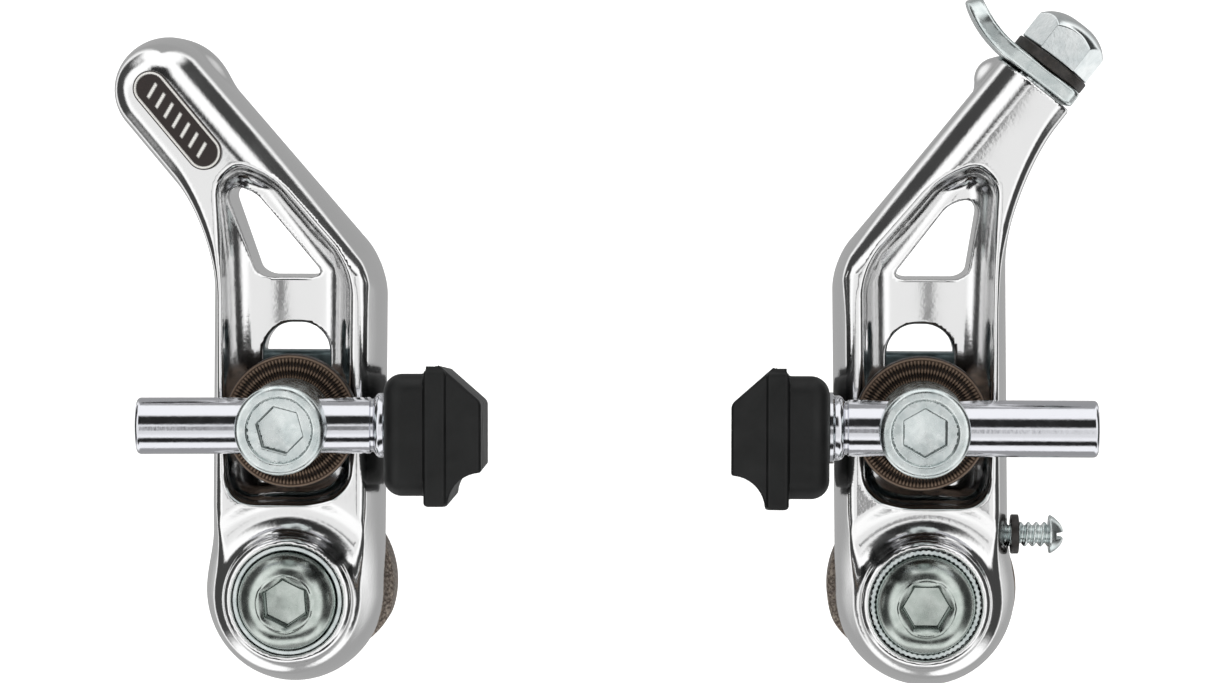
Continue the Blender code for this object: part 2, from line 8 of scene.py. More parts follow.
import json
import math
from collections import namedtuple

import bpy
import numpy as np
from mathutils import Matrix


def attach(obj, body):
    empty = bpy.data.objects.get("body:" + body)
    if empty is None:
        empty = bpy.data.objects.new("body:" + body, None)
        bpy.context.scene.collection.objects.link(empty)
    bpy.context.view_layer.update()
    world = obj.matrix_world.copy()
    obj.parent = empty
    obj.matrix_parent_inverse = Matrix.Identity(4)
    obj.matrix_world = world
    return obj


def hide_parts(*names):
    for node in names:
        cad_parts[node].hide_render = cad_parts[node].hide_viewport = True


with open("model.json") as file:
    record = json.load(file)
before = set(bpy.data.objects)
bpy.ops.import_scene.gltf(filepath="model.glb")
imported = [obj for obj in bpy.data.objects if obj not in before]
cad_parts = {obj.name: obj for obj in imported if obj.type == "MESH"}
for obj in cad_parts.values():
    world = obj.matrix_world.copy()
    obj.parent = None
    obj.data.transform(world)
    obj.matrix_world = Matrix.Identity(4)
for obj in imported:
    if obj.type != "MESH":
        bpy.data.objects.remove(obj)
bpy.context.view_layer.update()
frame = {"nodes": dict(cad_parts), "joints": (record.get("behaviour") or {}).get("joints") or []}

MM = 0.001
TAU = 2.0 * math.pi
FORWARDS = (0.0, -1.0, 0.0)
INWARDS = (1.0, 0.0, 0.0)

# Depths of the forging, as front distances.
ARM_BACK = 6.6
WEB_BACK = 9.0
WEB_FRONT = 14.0
RIB_FRONT = 18.0
BOSS_FRONT = 20.0

# Pad clamp and shoe.
CLAMP_X = 0.7
CLAMP_Z = 22.7
POST_FRONT = 25.2
POST_RADIUS = 3.5
SOCKET_FLOOR = 29.4
SHOE_PITCH = math.radians(5.5)
PAD_THICK = 11.4
PAD_TALL = 15.9
PAD_LOW = -9.24
PAD_HALF = 27.5

# Right arm's neck.
ANCHOR = (-13.35, 64.6)
ANCHOR_AXIS = np.array([-0.61116, 0.79151])
NECK_FRONT = 12.3
ADJUSTER_Z = 7.8
ADJUSTER_FRONT = 11.0


# ---- Sides, read from the frame ----

# Inward is the wheel's direction along the frame's x, and the pad's back and the post's outer end
# are places along the shoe.
Side = namedtuple("Side", "name inward pivot toe pad_back post_end")


def joint_named(name):
    """The frame's row for a joint."""
    return next(joint for joint in frame["joints"] if joint["name"] == name)


def read_side(name, inward, pad_back, post_end):
    """A side's pivot is its swing joint's place, and its shoe's toe is the turn of its slide joint."""
    pivot = joint_named(f"{name}_arm_swing")["pos_m"][0] / MM
    slide = joint_named(f"{name}_shoe_slide")["axis"]
    toe = math.atan2(slide[1], inward * slide[0])
    return Side(name, inward, pivot, toe, pad_back, post_end)


LEFT = read_side("left", 1.0, 13.9, -17.6)
RIGHT = read_side("right", -1.0, 12.6, -20.6)
SIDES = [LEFT, RIGHT]


def align_shoe(side, vectors, centre=(CLAMP_X, -POST_FRONT, CLAMP_Z)):
    """Turns a shoe's points about its clamp: the front end up by its pitch, then inwards by its toe."""
    x, y, z = (np.array(vectors, float) - centre).T
    cosine, sine = math.cos(SHOE_PITCH), math.sin(SHOE_PITCH)
    y, z = y * cosine + z * sine, z * cosine - y * sine
    cosine, sine = math.cos(side.toe), math.sin(side.toe)
    x, y = x * cosine - y * sine, x * sine + y * cosine
    return np.stack([x, y, z], axis=1) + centre


# ---- Meshes ----


def build_mesh(name, side, points, faces, normals=None, tone=None):
    """A mesh object at the origin from arrays of points and faces, with a tone from 0 to 1 at each point."""
    world = np.array(points, float)
    world[:, 0] = side.pivot + side.inward * world[:, 0]
    faces = np.array(faces, int)
    if side.inward < 0.0:
        faces = faces[:, ::-1]
    mesh = bpy.data.meshes.new(name)
    mesh.vertices.add(len(world))
    mesh.vertices.foreach_set("co", (world * MM).astype(np.float32).ravel())
    mesh.loops.add(faces.size)
    mesh.loops.foreach_set("vertex_index", faces.astype(np.int32).ravel())
    mesh.polygons.add(len(faces))
    mesh.polygons.foreach_set("loop_start", np.arange(0, faces.size, faces.shape[1], dtype=np.int32))
    mesh.update(calc_edges=True)
    mesh.shade_smooth()
    if tone is not None:
        layer = mesh.attributes.new("tone", "FLOAT", "POINT")
        layer.data.foreach_set("value", np.array(tone, np.float32))
    if normals is None:
        mesh.set_sharp_from_angle(angle=math.radians(35.0))
    else:
        turned_over = np.array(normals, float)
        turned_over[:, 0] *= side.inward
        mesh.normals_split_custom_set_from_vertices(turned_over.tolist())
    obj = bpy.data.objects.new(name, mesh)
    bpy.context.scene.collection.objects.link(obj)
    return obj


def dress(obj, material, body, node=None):
    """Gives a piece its material and its body, and hides the CAD node that it stands for."""
    obj.data.materials.append(material)
    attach(obj, body)
    if node:
        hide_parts(node)
    return obj


def grid_faces(rows, columns, rings):
    """Four-sided faces of a grid whose columns run right round, and whose rows do if it's a ring."""
    row = np.arange(rows if rings else rows - 1)[:, None]
    column = np.arange(columns)[None, :]
    next_row, next_column = (row + 1) % rows, (column + 1) % columns
    corners = [row * columns + column, next_row * columns + column,
               next_row * columns + next_column, row * columns + next_column]
    return np.stack([np.broadcast_to(c, (len(row), columns)).ravel() for c in corners], axis=1)


def close_poles(points, faces, columns):
    """Makes the first and the last ring of a grid one point each, and its faces three-sided.

    Returns the points and faces, and which of the old points are kept.
    """
    last = len(points) - columns
    index = np.arange(len(points))
    index[:columns] = 0
    index[last:] = last
    faces = index[faces]
    triangles = np.concatenate([faces[columns:, [0, 1, 3]], faces[:-columns, [1, 2, 3]]])
    used, compact = np.unique(triangles, return_inverse=True)
    return points[used], compact.reshape(triangles.shape), used


def stand(points, centre, direction):
    """Turns points drawn about +z so that +z lies along direction, and moves them to centre."""
    z_axis = np.array(direction, float) / np.linalg.norm(direction)
    helper = np.array([0.0, 0.0, 1.0]) if abs(z_axis[2]) < 0.9 else np.array([1.0, 0.0, 0.0])
    x_axis = np.cross(helper, z_axis)
    x_axis /= np.linalg.norm(x_axis)
    y_axis = np.cross(z_axis, x_axis)
    return np.array(centre) + np.reshape(points, (-1, 3)) @ np.array([x_axis, y_axis, z_axis])


def turned_grid(profile, around, spin=0.0):
    """Rings of a turned piece, one for each (radius, height, sixness) row, from the top down its outside.

    Where sixness is 1 the ring is a hexagon, radius to its corners: the radius is multiplied by
    cos(30 degrees) over the cosine of the angle from the middle of the nearest side.
    """
    rows = np.array([(*row, 0.0)[:3] for row in profile], float)
    angle = TAU * np.arange(around)[None, :] / around
    from_side = (angle + math.pi / 6.0) % (math.pi / 3.0) - math.pi / 6.0
    hexagon = math.cos(math.pi / 6.0) / np.cos(from_side)
    radius = rows[:, 0:1] * (1.0 + rows[:, 2:3] * (hexagon - 1.0))
    turn = angle + math.radians(spin)
    height = np.broadcast_to(rows[:, 1:2], radius.shape)
    return np.stack([radius * np.cos(turn), radius * np.sin(turn), height], axis=2)


def grid_piece(name, side, grid, centre, direction, rings=False, shoe=False, tone=None):
    """A mesh from a grid of rings about an axis. A grid of rings within rings has no poles."""
    points = stand(grid, centre, direction)
    if shoe:
        points = align_shoe(side, points)
    faces = grid_faces(grid.shape[0], grid.shape[1], rings)
    if tone is not None:
        tone = tone.ravel()
    if not rings:
        points, faces, kept = close_poles(points, faces, grid.shape[1])
        tone = None if tone is None else tone[kept]
    return build_mesh(name, side, points, faces, tone=tone)


def curved(centre, radii, angles, steps=7):
    """Profile rows along a quarter or so of an ellipse, its angles in degrees from the radius direction."""
    turn = np.radians(np.linspace(angles[0], angles[1], steps))
    return [(centre[0] + radii[0] * math.cos(a), centre[1] + radii[1] * math.sin(a)) for a in turn]


def ring_profile(bore, radius, low, high, edge=0.25):
    """Rows round the section of a flat ring with rounded edges."""
    return (curved((radius - edge, high - edge), (edge, edge), (90.0, 0.0), 4)
            + curved((radius - edge, low + edge), (edge, edge), (0.0, -90.0), 4)
            + curved((bore + edge, low + edge), (edge, edge), (270.0, 180.0), 4)
            + curved((bore + edge, high - edge), (edge, edge), (180.0, 90.0), 4))


# ---- Solids described by a distance field ----


def blend_join(a, b, radius):
    """The nearer of two solids, with a hollow fillet of that radius where they meet."""
    round_off = np.hypot(np.maximum(radius - a, 0.0), np.maximum(radius - b, 0.0))
    return np.maximum(radius, np.minimum(a, b)) - round_off


def blend_trim(a, b, radius):
    """What two solids share, with the edge between them rounded to that radius."""
    round_off = np.hypot(np.maximum(radius + a, 0.0), np.maximum(radius + b, 0.0))
    return np.minimum(-radius, np.maximum(a, b)) + round_off


def carve(a, b, radius):
    """The first solid less the second, with the edge between them rounded."""
    return blend_trim(a, -b, radius)


def block(x, y, z, halves, radius):
    """Distance to a box about the origin, all its edges rounded."""
    x, y, z = (np.maximum(np.abs(v) - half + radius, 0.0) for v, half in zip((x, y, z), halves))
    return np.sqrt(x * x + y * y + z * z) - radius


def ramp(value, start, end):
    """0 before start and 1 after end, with a smooth step between."""
    t = np.clip((value - start) / (end - start), 0.0, 1.0)
    return t * t * (3.0 - 2.0 * t)


def beyond(x, z, first, second):
    """Distance outside the line from first to second, whose inner side is on its left."""
    run, rise = second[0] - first[0], second[1] - first[1]
    return ((x - first[0]) * rise - (z - first[1]) * run) / math.hypot(run, rise)


def many_sided(x, z, corners, radii):
    """Distance to a convex outline, its corners named anticlockwise, each edge rounded on to the last."""
    distance = beyond(x, z, corners[0], corners[1])
    for i in range(1, len(corners)):
        edge = beyond(x, z, corners[i], corners[(i + 1) % len(corners)])
        distance = blend_trim(distance, edge, radii[i])
    return blend_trim(distance, beyond(x, z, corners[0], corners[1]), radii[0])


def six_sided(u, v, flats, turn=0.0):
    """Distance to a hexagonal bar of that width across flats, a flat's middle at the turn in degrees."""
    angle = math.radians(turn) + math.pi / 3.0 * np.arange(3)
    sides = [np.abs(u * math.cos(a) + v * math.sin(a)) for a in angle]
    return np.maximum(np.maximum(sides[0], sides[1]), sides[2]) - flats / 2.0


# A cell's eight corners, and how often skin_of slides its points onto the surface.
CORNERS = np.array([(i, j, k) for i in (0, 1) for j in (0, 1) for k in (0, 1)])
SLIDES_ONTO_SURFACE = 4


def skin_of(field, low, high, step):
    """The surface where field(x, y, z) is zero, as points, four-sided faces and normals.

    The box is cut in cells. A cell with corners both inside and outside gets one point, the mean
    of the places where the surface crosses its edges, and each crossed edge gets the face between
    the four cells round it. Each point then slides along the field's slope onto the surface, and
    its normal is that slope.
    """
    axes = [np.arange(a - 2.0 * step, b + 3.0 * step, step) for a, b in zip(low, high)]
    values = field(axes[0][:, None, None], axes[1][None, :, None], axes[2][None, None, :])
    values = np.broadcast_to(values, [len(axis) for axis in axes])
    inside = values < 0.0
    shape = np.array(values.shape) - 1
    corners_inside = sum(inside[i:i + shape[0], j:j + shape[1], k:k + shape[2]].astype(int)
                         for i, j, k in CORNERS)
    cells = np.argwhere((corners_inside > 0) & (corners_inside < len(CORNERS)))
    number = np.full(shape, -1)
    number[tuple(cells.T)] = np.arange(len(cells))
    total, crossings = np.zeros((len(cells), 3)), np.zeros((len(cells), 1))
    for offset in CORNERS:
        for axis in np.flatnonzero(offset == 0):
            far = offset.copy()
            far[axis] = 1
            here, there = values[tuple((cells + offset).T)], values[tuple((cells + far).T)]
            crossed = (here < 0.0) != (there < 0.0)
            share = np.where(crossed, here / np.where(crossed, here - there, 1.0), 0.0)
            spot = cells + offset + share[:, None] * (far - offset)
            total += np.where(crossed[:, None], spot, 0.0)
            crossings += crossed[:, None]
    points = np.array([axis[0] for axis in axes]) + step * total / crossings
    faces = []
    for axis in range(3):
        edges = np.argwhere(inside != np.roll(inside, -1, axis))
        others = [a for a in range(3) if a != axis]
        crosswise = edges[:, others]
        within = (crosswise > 0).all(1) & (crosswise < shape[others]).all(1)
        edges = edges[within & (edges[:, axis] < shape[axis])]
        u, v = np.eye(3, dtype=int)[others]
        around = (edges - u - v, edges - v, edges, edges - u)
        quads = np.stack([number[tuple(cell.T)] for cell in around], axis=1)
        flip = inside[tuple(edges.T)] == (axis == 1)
        quads[flip] = quads[flip][:, ::-1]
        faces.append(quads)
    nudge = step * 0.05
    for _ in range(SLIDES_ONTO_SURFACE):
        x, y, z = points.T
        slope = np.stack([
            field(x + nudge, y, z) - field(x - nudge, y, z),
            field(x, y + nudge, z) - field(x, y - nudge, z),
            field(x, y, z + nudge) - field(x, y, z - nudge),
        ], axis=1) / (2.0 * nudge)
        steep = np.maximum((slope ** 2).sum(1), 0.25)
        move = slope * (field(x, y, z) / steep)[:, None]
        points = points - np.clip(move, -0.3 * step, 0.3 * step)
    normals = slope / np.maximum(np.linalg.norm(slope, axis=1, keepdims=True), 1e-9)
    return points, np.concatenate(faces), normals


def skin_piece(name, side, field, low, high, step):
    """A mesh from a distance field in the side's own millimetres."""
    points, faces, normals = skin_of(field, low, high, step)
    return build_mesh(name, side, points, faces, normals)


# ---- Arms ----

# An arm's upper end: the middle of its end, its direction, half its width and how fast it widens
# downwards, the radii of its outer bend, inner shoulder and front edges, and whether it's cut square.
ArmHead = namedtuple("ArmHead", "centre axis half_width flare bend shoulder crown square")
HEADS = {
    "left": ArmHead((-16.15, 63.85), (-0.64, 0.77), 6.7, 0.016, 4.6, 2.6, 3.4, False),
    "right": ArmHead(ANCHOR, tuple(ANCHOR_AXIS), 5.35, 0.024, 6.0, 2.2, 4.8, True),
}
# The round lobe behind each head: its centre and radius. The windows' corners run anticlockwise.
BACK_LOBES = {"left": ((-13.4, 64.5), 4.4), "right": ((-9.0, 65.2), 2.8)}
WINDOWS = {
    "left": [(-3.9, 39.8), (4.9, 39.8), (-5.0, 51.7), (-8.0, 51.7)],
    "right": [(-4.9, 39.7), (4.9, 39.7), (-3.2, 50.2), (-6.6, 50.2)],
}


def limb_places(x, z, head):
    """Distances along and across the slanted limb, from the middle of its end."""
    along = (x - head.centre[0]) * head.axis[0] + (z - head.centre[1]) * head.axis[1]
    across = (x - head.centre[0]) * head.axis[1] - (z - head.centre[1]) * head.axis[0]
    return along, across


def arm_outline(x, z, head, slim):
    """Distance outside the arm as seen from the front, drawn in by slim.

    The outer side is the leg's edge joined to the limb's edge by a hollow bend, and the inner side
    is where the leg and the limb meet in a rounded shoulder. The lower end is an oval that swells
    a little past the leg, and the left arm's upper end is a half circle.
    """
    along, across = limb_places(x, z, head)
    swell = 0.9 * (1.0 - ramp(z, 0.0, 8.0))
    outer = blend_join(-10.9 + 0.016 * z - swell - x, -across - head.half_width, head.bend)
    widening = head.half_width - head.flare * np.minimum(along, 0.0)
    inner = blend_trim(x - 11.1 - 0.014 * z, across - widening, head.shoulder)
    limb = np.maximum(outer, inner)
    if not head.square:
        limb = np.where(along > 0.0, np.hypot(along, across) - head.half_width, limb)
    lobe = np.hypot(x + 0.35, 0.955 * z) - 11.45
    return np.where(z < 0.0, lobe, limb) + slim


def front_room(x, z, front):
    """The room between the ribs: a trough whose floor is a little hollow and runs up into its walls."""
    corners = [(-6.6, 11.2), (6.4, 11.2), (6.8, 41.6), (-3.2, 53.4), (-7.6, 53.4)]
    flat = many_sided(x, z, corners, [5.0, 5.0, 1.2, 2.2, 2.8])
    floor = WEB_FRONT + 0.022 * (x - 0.2) ** 2 - 0.5
    return blend_trim(flat - 0.32 * (front - WEB_FRONT), floor - front, 2.4)


def window_hole(x, z, side):
    """The three-cornered window, its narrow top cut short."""
    return many_sided(x, z, WINDOWS[side.name], [1.9, 1.7, 1.5, 1.8])


def slot_hole(x, z):
    """The eye bolt's slot: straight sides and a round top."""
    return blend_trim(blend_trim(np.abs(x - CLAMP_X) - 4.2, z - 34.6, 3.7), 15.6 - z, 1.0)


def back_room(x, z, front):
    """The room behind the web for the slide block."""
    flat = blend_trim(np.abs(x - CLAMP_X) - 7.3, np.abs(z - 24.05) - 11.75, 2.0)
    return blend_trim(flat, front - WEB_BACK, 0.8)


def head_hollow(x, z, front, side):
    """What is sunk in each arm's head: the wire pocket on the left, the bolt holes on the right."""
    if side is LEFT:
        wire_pocket = np.maximum(np.hypot(x + 14.6, z - 64.6) - 3.2, front - 9.5)
        return wire_pocket
    along, across = limb_places(x, z, HEADS["right"])
    anchor_hole = np.maximum(np.hypot(across, front - NECK_FRONT) - 2.8, -11.5 - along)
    adjuster_hole = np.maximum(np.hypot(front - ADJUSTER_FRONT, z - ADJUSTER_Z) - 1.9, x + 5.0)
    return np.minimum(anchor_hole, adjuster_hole)


def arm_field(x, y, z, side):
    """Distance outside the forged arm: a crowned blank, its boss, and what is sunk into it.

    The blank's sides draw in towards its front by a power of the depth, the die's draft. Its front
    edges go from a small radius on the leg to a large one on the limb, whose face is crowned by the
    square of the distance across it. The lobe behind the head is the last thing added.
    """
    head, front = HEADS[side.name], -y
    up = ramp(z, 34.0, 58.0)
    low = 1.0 - ramp(z, 3.0, 12.0)
    draft = np.clip((front - 8.0) / (RIB_FRONT - 8.0), 0.0, 1.0) ** 1.7
    slim = (1.7 + 0.9 * low - 1.5 * up * head.square) * draft
    across = limb_places(x, z, head)[1]
    edge = 0.9 + (head.crown - 0.9) * up * (0.3 + 0.7 * ramp(across, -3.5, 1.0))
    face = front - RIB_FRONT + 0.018 * up * np.clip(across, -8.0, 8.0) ** 2
    solid = blend_trim(arm_outline(x, z, head, slim), face, edge)
    solid = blend_trim(solid, ARM_BACK - front, 0.9 + 3.6 * up * head.square)
    if head.square:
        solid = blend_trim(solid, limb_places(x, z, head)[0], 0.35)
    reach = np.hypot(x, z)
    boss_groove = np.hypot(reach - 10.8, front - 19.9) - 2.6
    solid = carve(solid, boss_groove, 0.9)
    boss = blend_trim(reach - 8.9 + 0.15 * (front - WEB_FRONT), front - BOSS_FRONT, 0.9)
    solid = blend_join(solid, np.maximum(boss, 8.0 - front), 1.0)
    solid = carve(solid, front_room(x, z, front), 0.7)
    solid = carve(solid, window_hole(x, z, side), 0.4)
    solid = carve(solid, slot_hole(x, z), 0.4)
    solid = carve(solid, back_room(x, z, front), 0.5)
    (lobe_x, lobe_z), lobe_radius = BACK_LOBES[side.name]
    lobe = blend_trim(np.hypot(x - lobe_x, z - lobe_z) - lobe_radius, np.abs(front - 7.2) - 2.8, 1.9)
    solid = blend_join(solid, lobe, 1.8)
    washer_seat = np.maximum(reach - 7.0, 17.4 - front)
    solid = carve(solid, washer_seat, 0.35)
    pivot_bore = reach - 5.25
    solid = carve(solid, pivot_bore, 0.3)
    spring_room = np.maximum(np.maximum(6.5 - reach, reach - 8.85), front - 14.7)
    solid = np.maximum(solid, -spring_room)
    return np.maximum(solid, -head_hollow(x, z, front, side))


def add_arm(side, material):
    """The forging, as the skin of arm_field."""
    low, high = (-25.5, -20.5, -12.0), (12.5, -4.0, 72.5)
    arm = skin_piece(f"{side.name}_arm_forging", side, lambda x, y, z: arm_field(x, y, z, side),
                     low, high, 0.38)
    dress(arm, material, f"{side.name}_arm_body", f"{side.name}_arm")


# ---- Pivot stack ----


def add_bushing(side, material):
    """A plain sleeve on the fork's boss: a ring's section turned about the pivot."""
    grid = turned_grid(ring_profile(4.05, 4.95, 0.0, 17.4, 0.3), 72)
    obj = grid_piece(f"{side.name}_bushing_sleeve", side, grid, (0, 0, 0), FORWARDS, rings=True)
    dress(obj, material, "fork_mount", f"{side.name}_pivot_bushing")


def add_holder(side, material):
    """Moulded disc with a groove in its front for the spring, its rim drawn in a little at the bottom."""
    radius, front = 12.1, 6.3
    profile = (curved((radius - 0.7, front - 0.7), (0.7, 0.7), (90.0, 0.0), 5)
               + curved((radius - 0.5, 0.8), (0.5, 0.5), (0.0, -90.0), 5)
               + [(7.0, 0.3), (5.5, 0.3), (5.25, 0.5), (5.25, front - 0.2), (5.45, front)]
               + [(6.6, front), (6.75, front - 0.2), (6.75, 3.6), (6.95, 3.4)]
               + [(8.75, 3.4), (8.95, 3.6), (8.95, front - 0.2), (9.1, front), (10.2, front)])
    grid = turned_grid(profile, 144)
    reach = np.hypot(grid[..., 0], grid[..., 1])
    low_side = ramp(-grid[..., 1] / reach, 0.3, 0.75) * ramp(reach, 9.0, 11.0)
    grid[..., :2] *= (1.0 - 0.075 * low_side)[..., None]
    obj = grid_piece(f"{side.name}_spring_disc", side, grid, (0, 0, 0), FORWARDS, rings=True)
    dress(obj, material, "fork_mount", f"{side.name}_spring_holder")


def add_spring(side, material):
    """Round wire along a helix about the pivot, its first stretch running back into the holder.

    A point of the wire's surface is the helix point plus the wire's radius times a turn of the
    two directions square to the wire: outwards, and along the pivot.
    """
    turns, per_turn, sides, wire, mean = 3.5, 40, 14, 0.75, 7.85
    step = np.arange(-6, int(turns * per_turn) + 1)
    angle = TAU * np.maximum(step, 0) / per_turn
    front = np.where(step < 0, 7.6 + step * 0.55, 7.6 + 1.75 * angle / TAU)
    centre = np.stack([mean * np.cos(angle), mean * np.sin(angle), front], axis=1)
    outward = np.stack([np.cos(angle), np.sin(angle), 0.0 * angle], axis=1)
    run = np.gradient(centre, axis=0)
    third = np.cross(outward, run)
    third /= np.linalg.norm(third, axis=1, keepdims=True)
    turn = (TAU * np.arange(sides) / sides)[None, :, None]
    tube = centre[:, None] + wire * (np.cos(turn) * outward[:, None] - np.sin(turn) * third[:, None])
    first_end, last_end = (np.repeat(end[None, None], sides, 1) for end in (centre[0], centre[-1]))
    grid = np.concatenate([first_end, tube, last_end])
    obj = grid_piece(f"{side.name}_spring_wire", side, grid[::-1], (0, 0, 0), FORWARDS)
    dress(obj, material, "fork_mount", f"{side.name}_return_spring")


def add_fixing_bolt(side, material, spin):
    """Domed head with a narrow raised lip round its 5 mm socket, 2.887 mm to the socket's corners."""
    socket = [(0.0, 20.35), (1.6, 20.5), (2.8, 20.6, 1.0), (2.887, 20.7, 1.0), (2.887, 22.2, 1.0)]
    lip = [(2.95, 22.35, 1.0), (3.1, 22.5, 0.8), (3.3, 22.78, 0.45), (3.42, 22.88, 0.3)]
    lip += [(3.55, 22.86, 0.2), (3.65, 22.74, 0.1)]
    dome = curved((3.1, 19.5), (3.1, 3.25), (78.0, 0.0), 22)
    under_head = [(6.2, 19.3), (6.1, 19.05), (5.9, 19.0), (3.2, 19.0), (3.0, 18.8)]
    shank_end = [(3.0, 7.4), (2.6, 7.0), (0.0, 7.0)]
    grid = turned_grid(socket + lip + dome + under_head + shank_end, 120, spin)
    # Painted shade: tone 0.8 on the socket's walls darkens them in the zinc plate.
    tone = np.zeros(grid.shape[:2])
    shaded_socket_wall = slice(3, 5)
    tone[shaded_socket_wall] = 0.8
    obj = grid_piece(f"{side.name}_dome_bolt", side, grid, (0, 0, 0), FORWARDS, tone=tone)
    dress(obj, material, "fork_mount", f"{side.name}_fixing_bolt")


def add_fixing_washer(side, material, teeth):
    """Ring with a raised rim. The right one is toothed: its radius falls and rises with the angle."""
    rim = [(6.45, 19.8), (6.8, 19.8), (6.88, 19.72)] + curved((6.68, 17.9), (0.2, 0.2), (0.0, -90.0), 4)
    bore = [(3.5, 17.7), (3.3, 17.9), (3.3, 18.5), (3.5, 18.7)]
    dish = [(6.0, 18.7), (6.25, 18.85), (6.35, 19.72)]
    grid = turned_grid(rim + bore + dish, 480)
    reach = np.hypot(grid[..., 0], grid[..., 1])
    angle = np.arctan2(grid[..., 1], grid[..., 0])
    bite = teeth * ramp(reach, 5.0, 6.4) * (0.5 + 0.5 * np.cos(60.0 * angle))
    grid[..., :2] *= (1.0 - bite / reach)[..., None]
    obj = grid_piece(f"{side.name}_boss_washer", side, grid, (0, 0, 0), FORWARDS, rings=True)
    dress(obj, material, "fork_mount", f"{side.name}_fixing_washer")


# ---- Pad clamp ----


def eye_field(x, y, z, side, spin):
    """Round head, its front hollow and socket, the cross hole along the post, and a threaded stud."""
    u, v, front = x - CLAMP_X, z - CLAMP_Z, -y
    reach = np.hypot(u, v)
    head = blend_trim(reach - 5.55, np.abs(front - 26.2) - 5.4, 0.7)
    rim_hollow = np.maximum(reach - 3.75 - 0.2 * (front - 30.0), 31.05 - front)
    head = carve(head, rim_hollow, 0.22)
    socket = np.maximum(six_sided(u, v, 5.1, spin), SOCKET_FLOOR + 0.1 * reach - front)
    head = carve(head, socket, 0.24)
    sideways = u * math.sin(side.toe) - (y + POST_FRONT) * math.cos(side.toe)
    cross_hole = np.hypot(sideways, v) - POST_RADIUS - 0.12
    head = carve(head, cross_hole, 0.3)
    crest = 0.24 * np.cos(TAU * front + np.arctan2(v, u)) * ramp(-front, -16.0, -14.0)
    stud = blend_trim(reach - 2.78 - crest, 1.2 - front, 0.4)
    return np.minimum(head, np.maximum(stud, front - 21.0))


def add_eye_bolt(side, material, spin):
    """The skin of eye_field, its tone 1 on the socket's walls, where it paints shade."""
    low = (CLAMP_X - 5.6, -31.7, CLAMP_Z - 5.6)
    high = (CLAMP_X + 5.6, -1.1, CLAMP_Z + 5.6)
    points, faces, normals = skin_of(lambda x, y, z: eye_field(x, y, z, side, spin), low, high, 0.18)
    reach = np.hypot(points[:, 0] - CLAMP_X, points[:, 2] - CLAMP_Z)
    # Painted shade: the socket's walls get a high tone, which darkens the zinc there.
    walls = (reach < 3.5) & (points[:, 1] < -29.0)   # the socket's, in front of the cross hole
    tone = np.where(walls, 1.0 - np.abs(normals[:, 1]), 0.0)
    obj = build_mesh(f"{side.name}_clamp_eye", side, points, faces, normals, tone)
    dress(obj, material, f"{side.name}_clamp", f"{side.name}_eye_bolt")


def add_knurled_washer(side, material):
    """Disc whose front has a diamond knurl between two plain bands.

    The knurl's height is the product of two cosine waves that wind opposite ways round the disc,
    each with 54 crests and one turn of slant for every 1.1 mm of radius.
    """
    bore, radius, back, front, around, crests, slant = 3.3, 8.35, 18.3, 20.5, 648, 54, TAU / 2.2
    edge = 0.2
    face_rings = np.linspace(radius - edge, bore + edge, 44)[::-1]
    face = [(ring, front - 0.12) for ring in face_rings]
    outside = [(radius, front - 0.3)] + curved((radius - edge, back + edge), (edge, edge), (0.0, -90.0), 4)
    inside = curved((bore + edge, back + edge), (edge, edge), (270.0, 180.0), 4) + [(bore, front - 0.3)]
    grid = turned_grid(face + outside + inside, around)
    angle = TAU * np.arange(around) / around
    lean = slant * face_rings[:, None]
    share = np.cos(crests * angle + lean) * np.cos(crests * angle - lean)
    plain = ramp(face_rings[:, None], 7.85, 8.0)
    knurl = np.clip(0.5 + 0.9 * share, 0.0, 1.0) * (1.0 - plain)
    grid[:len(face), :, 2] += 0.34 * (knurl - 0.75) * (1.0 - plain) + 0.1 * plain
    tone = np.zeros(grid.shape[:2])
    tone[:len(face)] = np.maximum(knurl, plain)
    obj = grid_piece(f"{side.name}_knurled_disc", side, grid, (CLAMP_X, 0, CLAMP_Z), FORWARDS,
                     rings=True, tone=tone)
    dress(obj, material, f"{side.name}_clamp", f"{side.name}_knurled_washer")


def add_seat_washer(side, material):
    """Cupped washer between the disc and the web."""
    outside = (curved((6.0, 17.7), (0.3, 0.3), (90.0, 0.0), 4)
               + curved((6.0, 14.6), (0.3, 0.3), (0.0, -90.0), 4))
    bore_and_cup = [(3.5, 14.3), (3.3, 14.5), (3.3, 16.9), (3.5, 17.1)]
    grid = turned_grid([(5.3, 18.0)] + outside + bore_and_cup, 96)
    obj = grid_piece(f"{side.name}_cupped_washer", side, grid, (CLAMP_X, 0, CLAMP_Z), FORWARDS, rings=True)
    dress(obj, material, f"{side.name}_pad_carrier", f"{side.name}_seat_washer")


def slide_block_field(x, y, z):
    """Plate with rounded edges, a square boss that fits the slot, and the stud's bore."""
    u, v, front = x - CLAMP_X, z - CLAMP_Z, -y
    plate = block(u, front - 7.15, v, (6.5, 1.55, 7.9), 0.6)
    boss = block(u, front - 11.0, v, (4.25, 2.7, 4.25), 0.4)
    return carve(blend_join(plate, boss, 0.3), np.hypot(u, v) - 3.3, 0.3)


def add_slide_block(side, material):
    """The skin of slide_block_field."""
    low, high = (CLAMP_X - 6.6, -13.8, CLAMP_Z - 8.0), (CLAMP_X + 6.6, -5.5, CLAMP_Z + 8.0)
    obj = skin_piece(f"{side.name}_slot_block", side, slide_block_field, low, high, 0.3)
    dress(obj, material, f"{side.name}_pad_carrier", f"{side.name}_rear_slide_block")


def nut_field(x, y, z):
    """Hexagon nut whose corners are cut back by a cone on each face."""
    u, v, front = x - CLAMP_X, z - CLAMP_Z, -y
    reach = np.hypot(u, v)
    depth = np.abs(front - 3.55)
    cone = 0.5 * (reach - 5.2) + 0.866 * (depth - 1.6)
    solid = blend_trim(blend_trim(six_sided(u, v, 10.0, 30.0), depth - 1.72, 0.12), cone, 0.12)
    return carve(solid, reach - 3.1, 0.3)


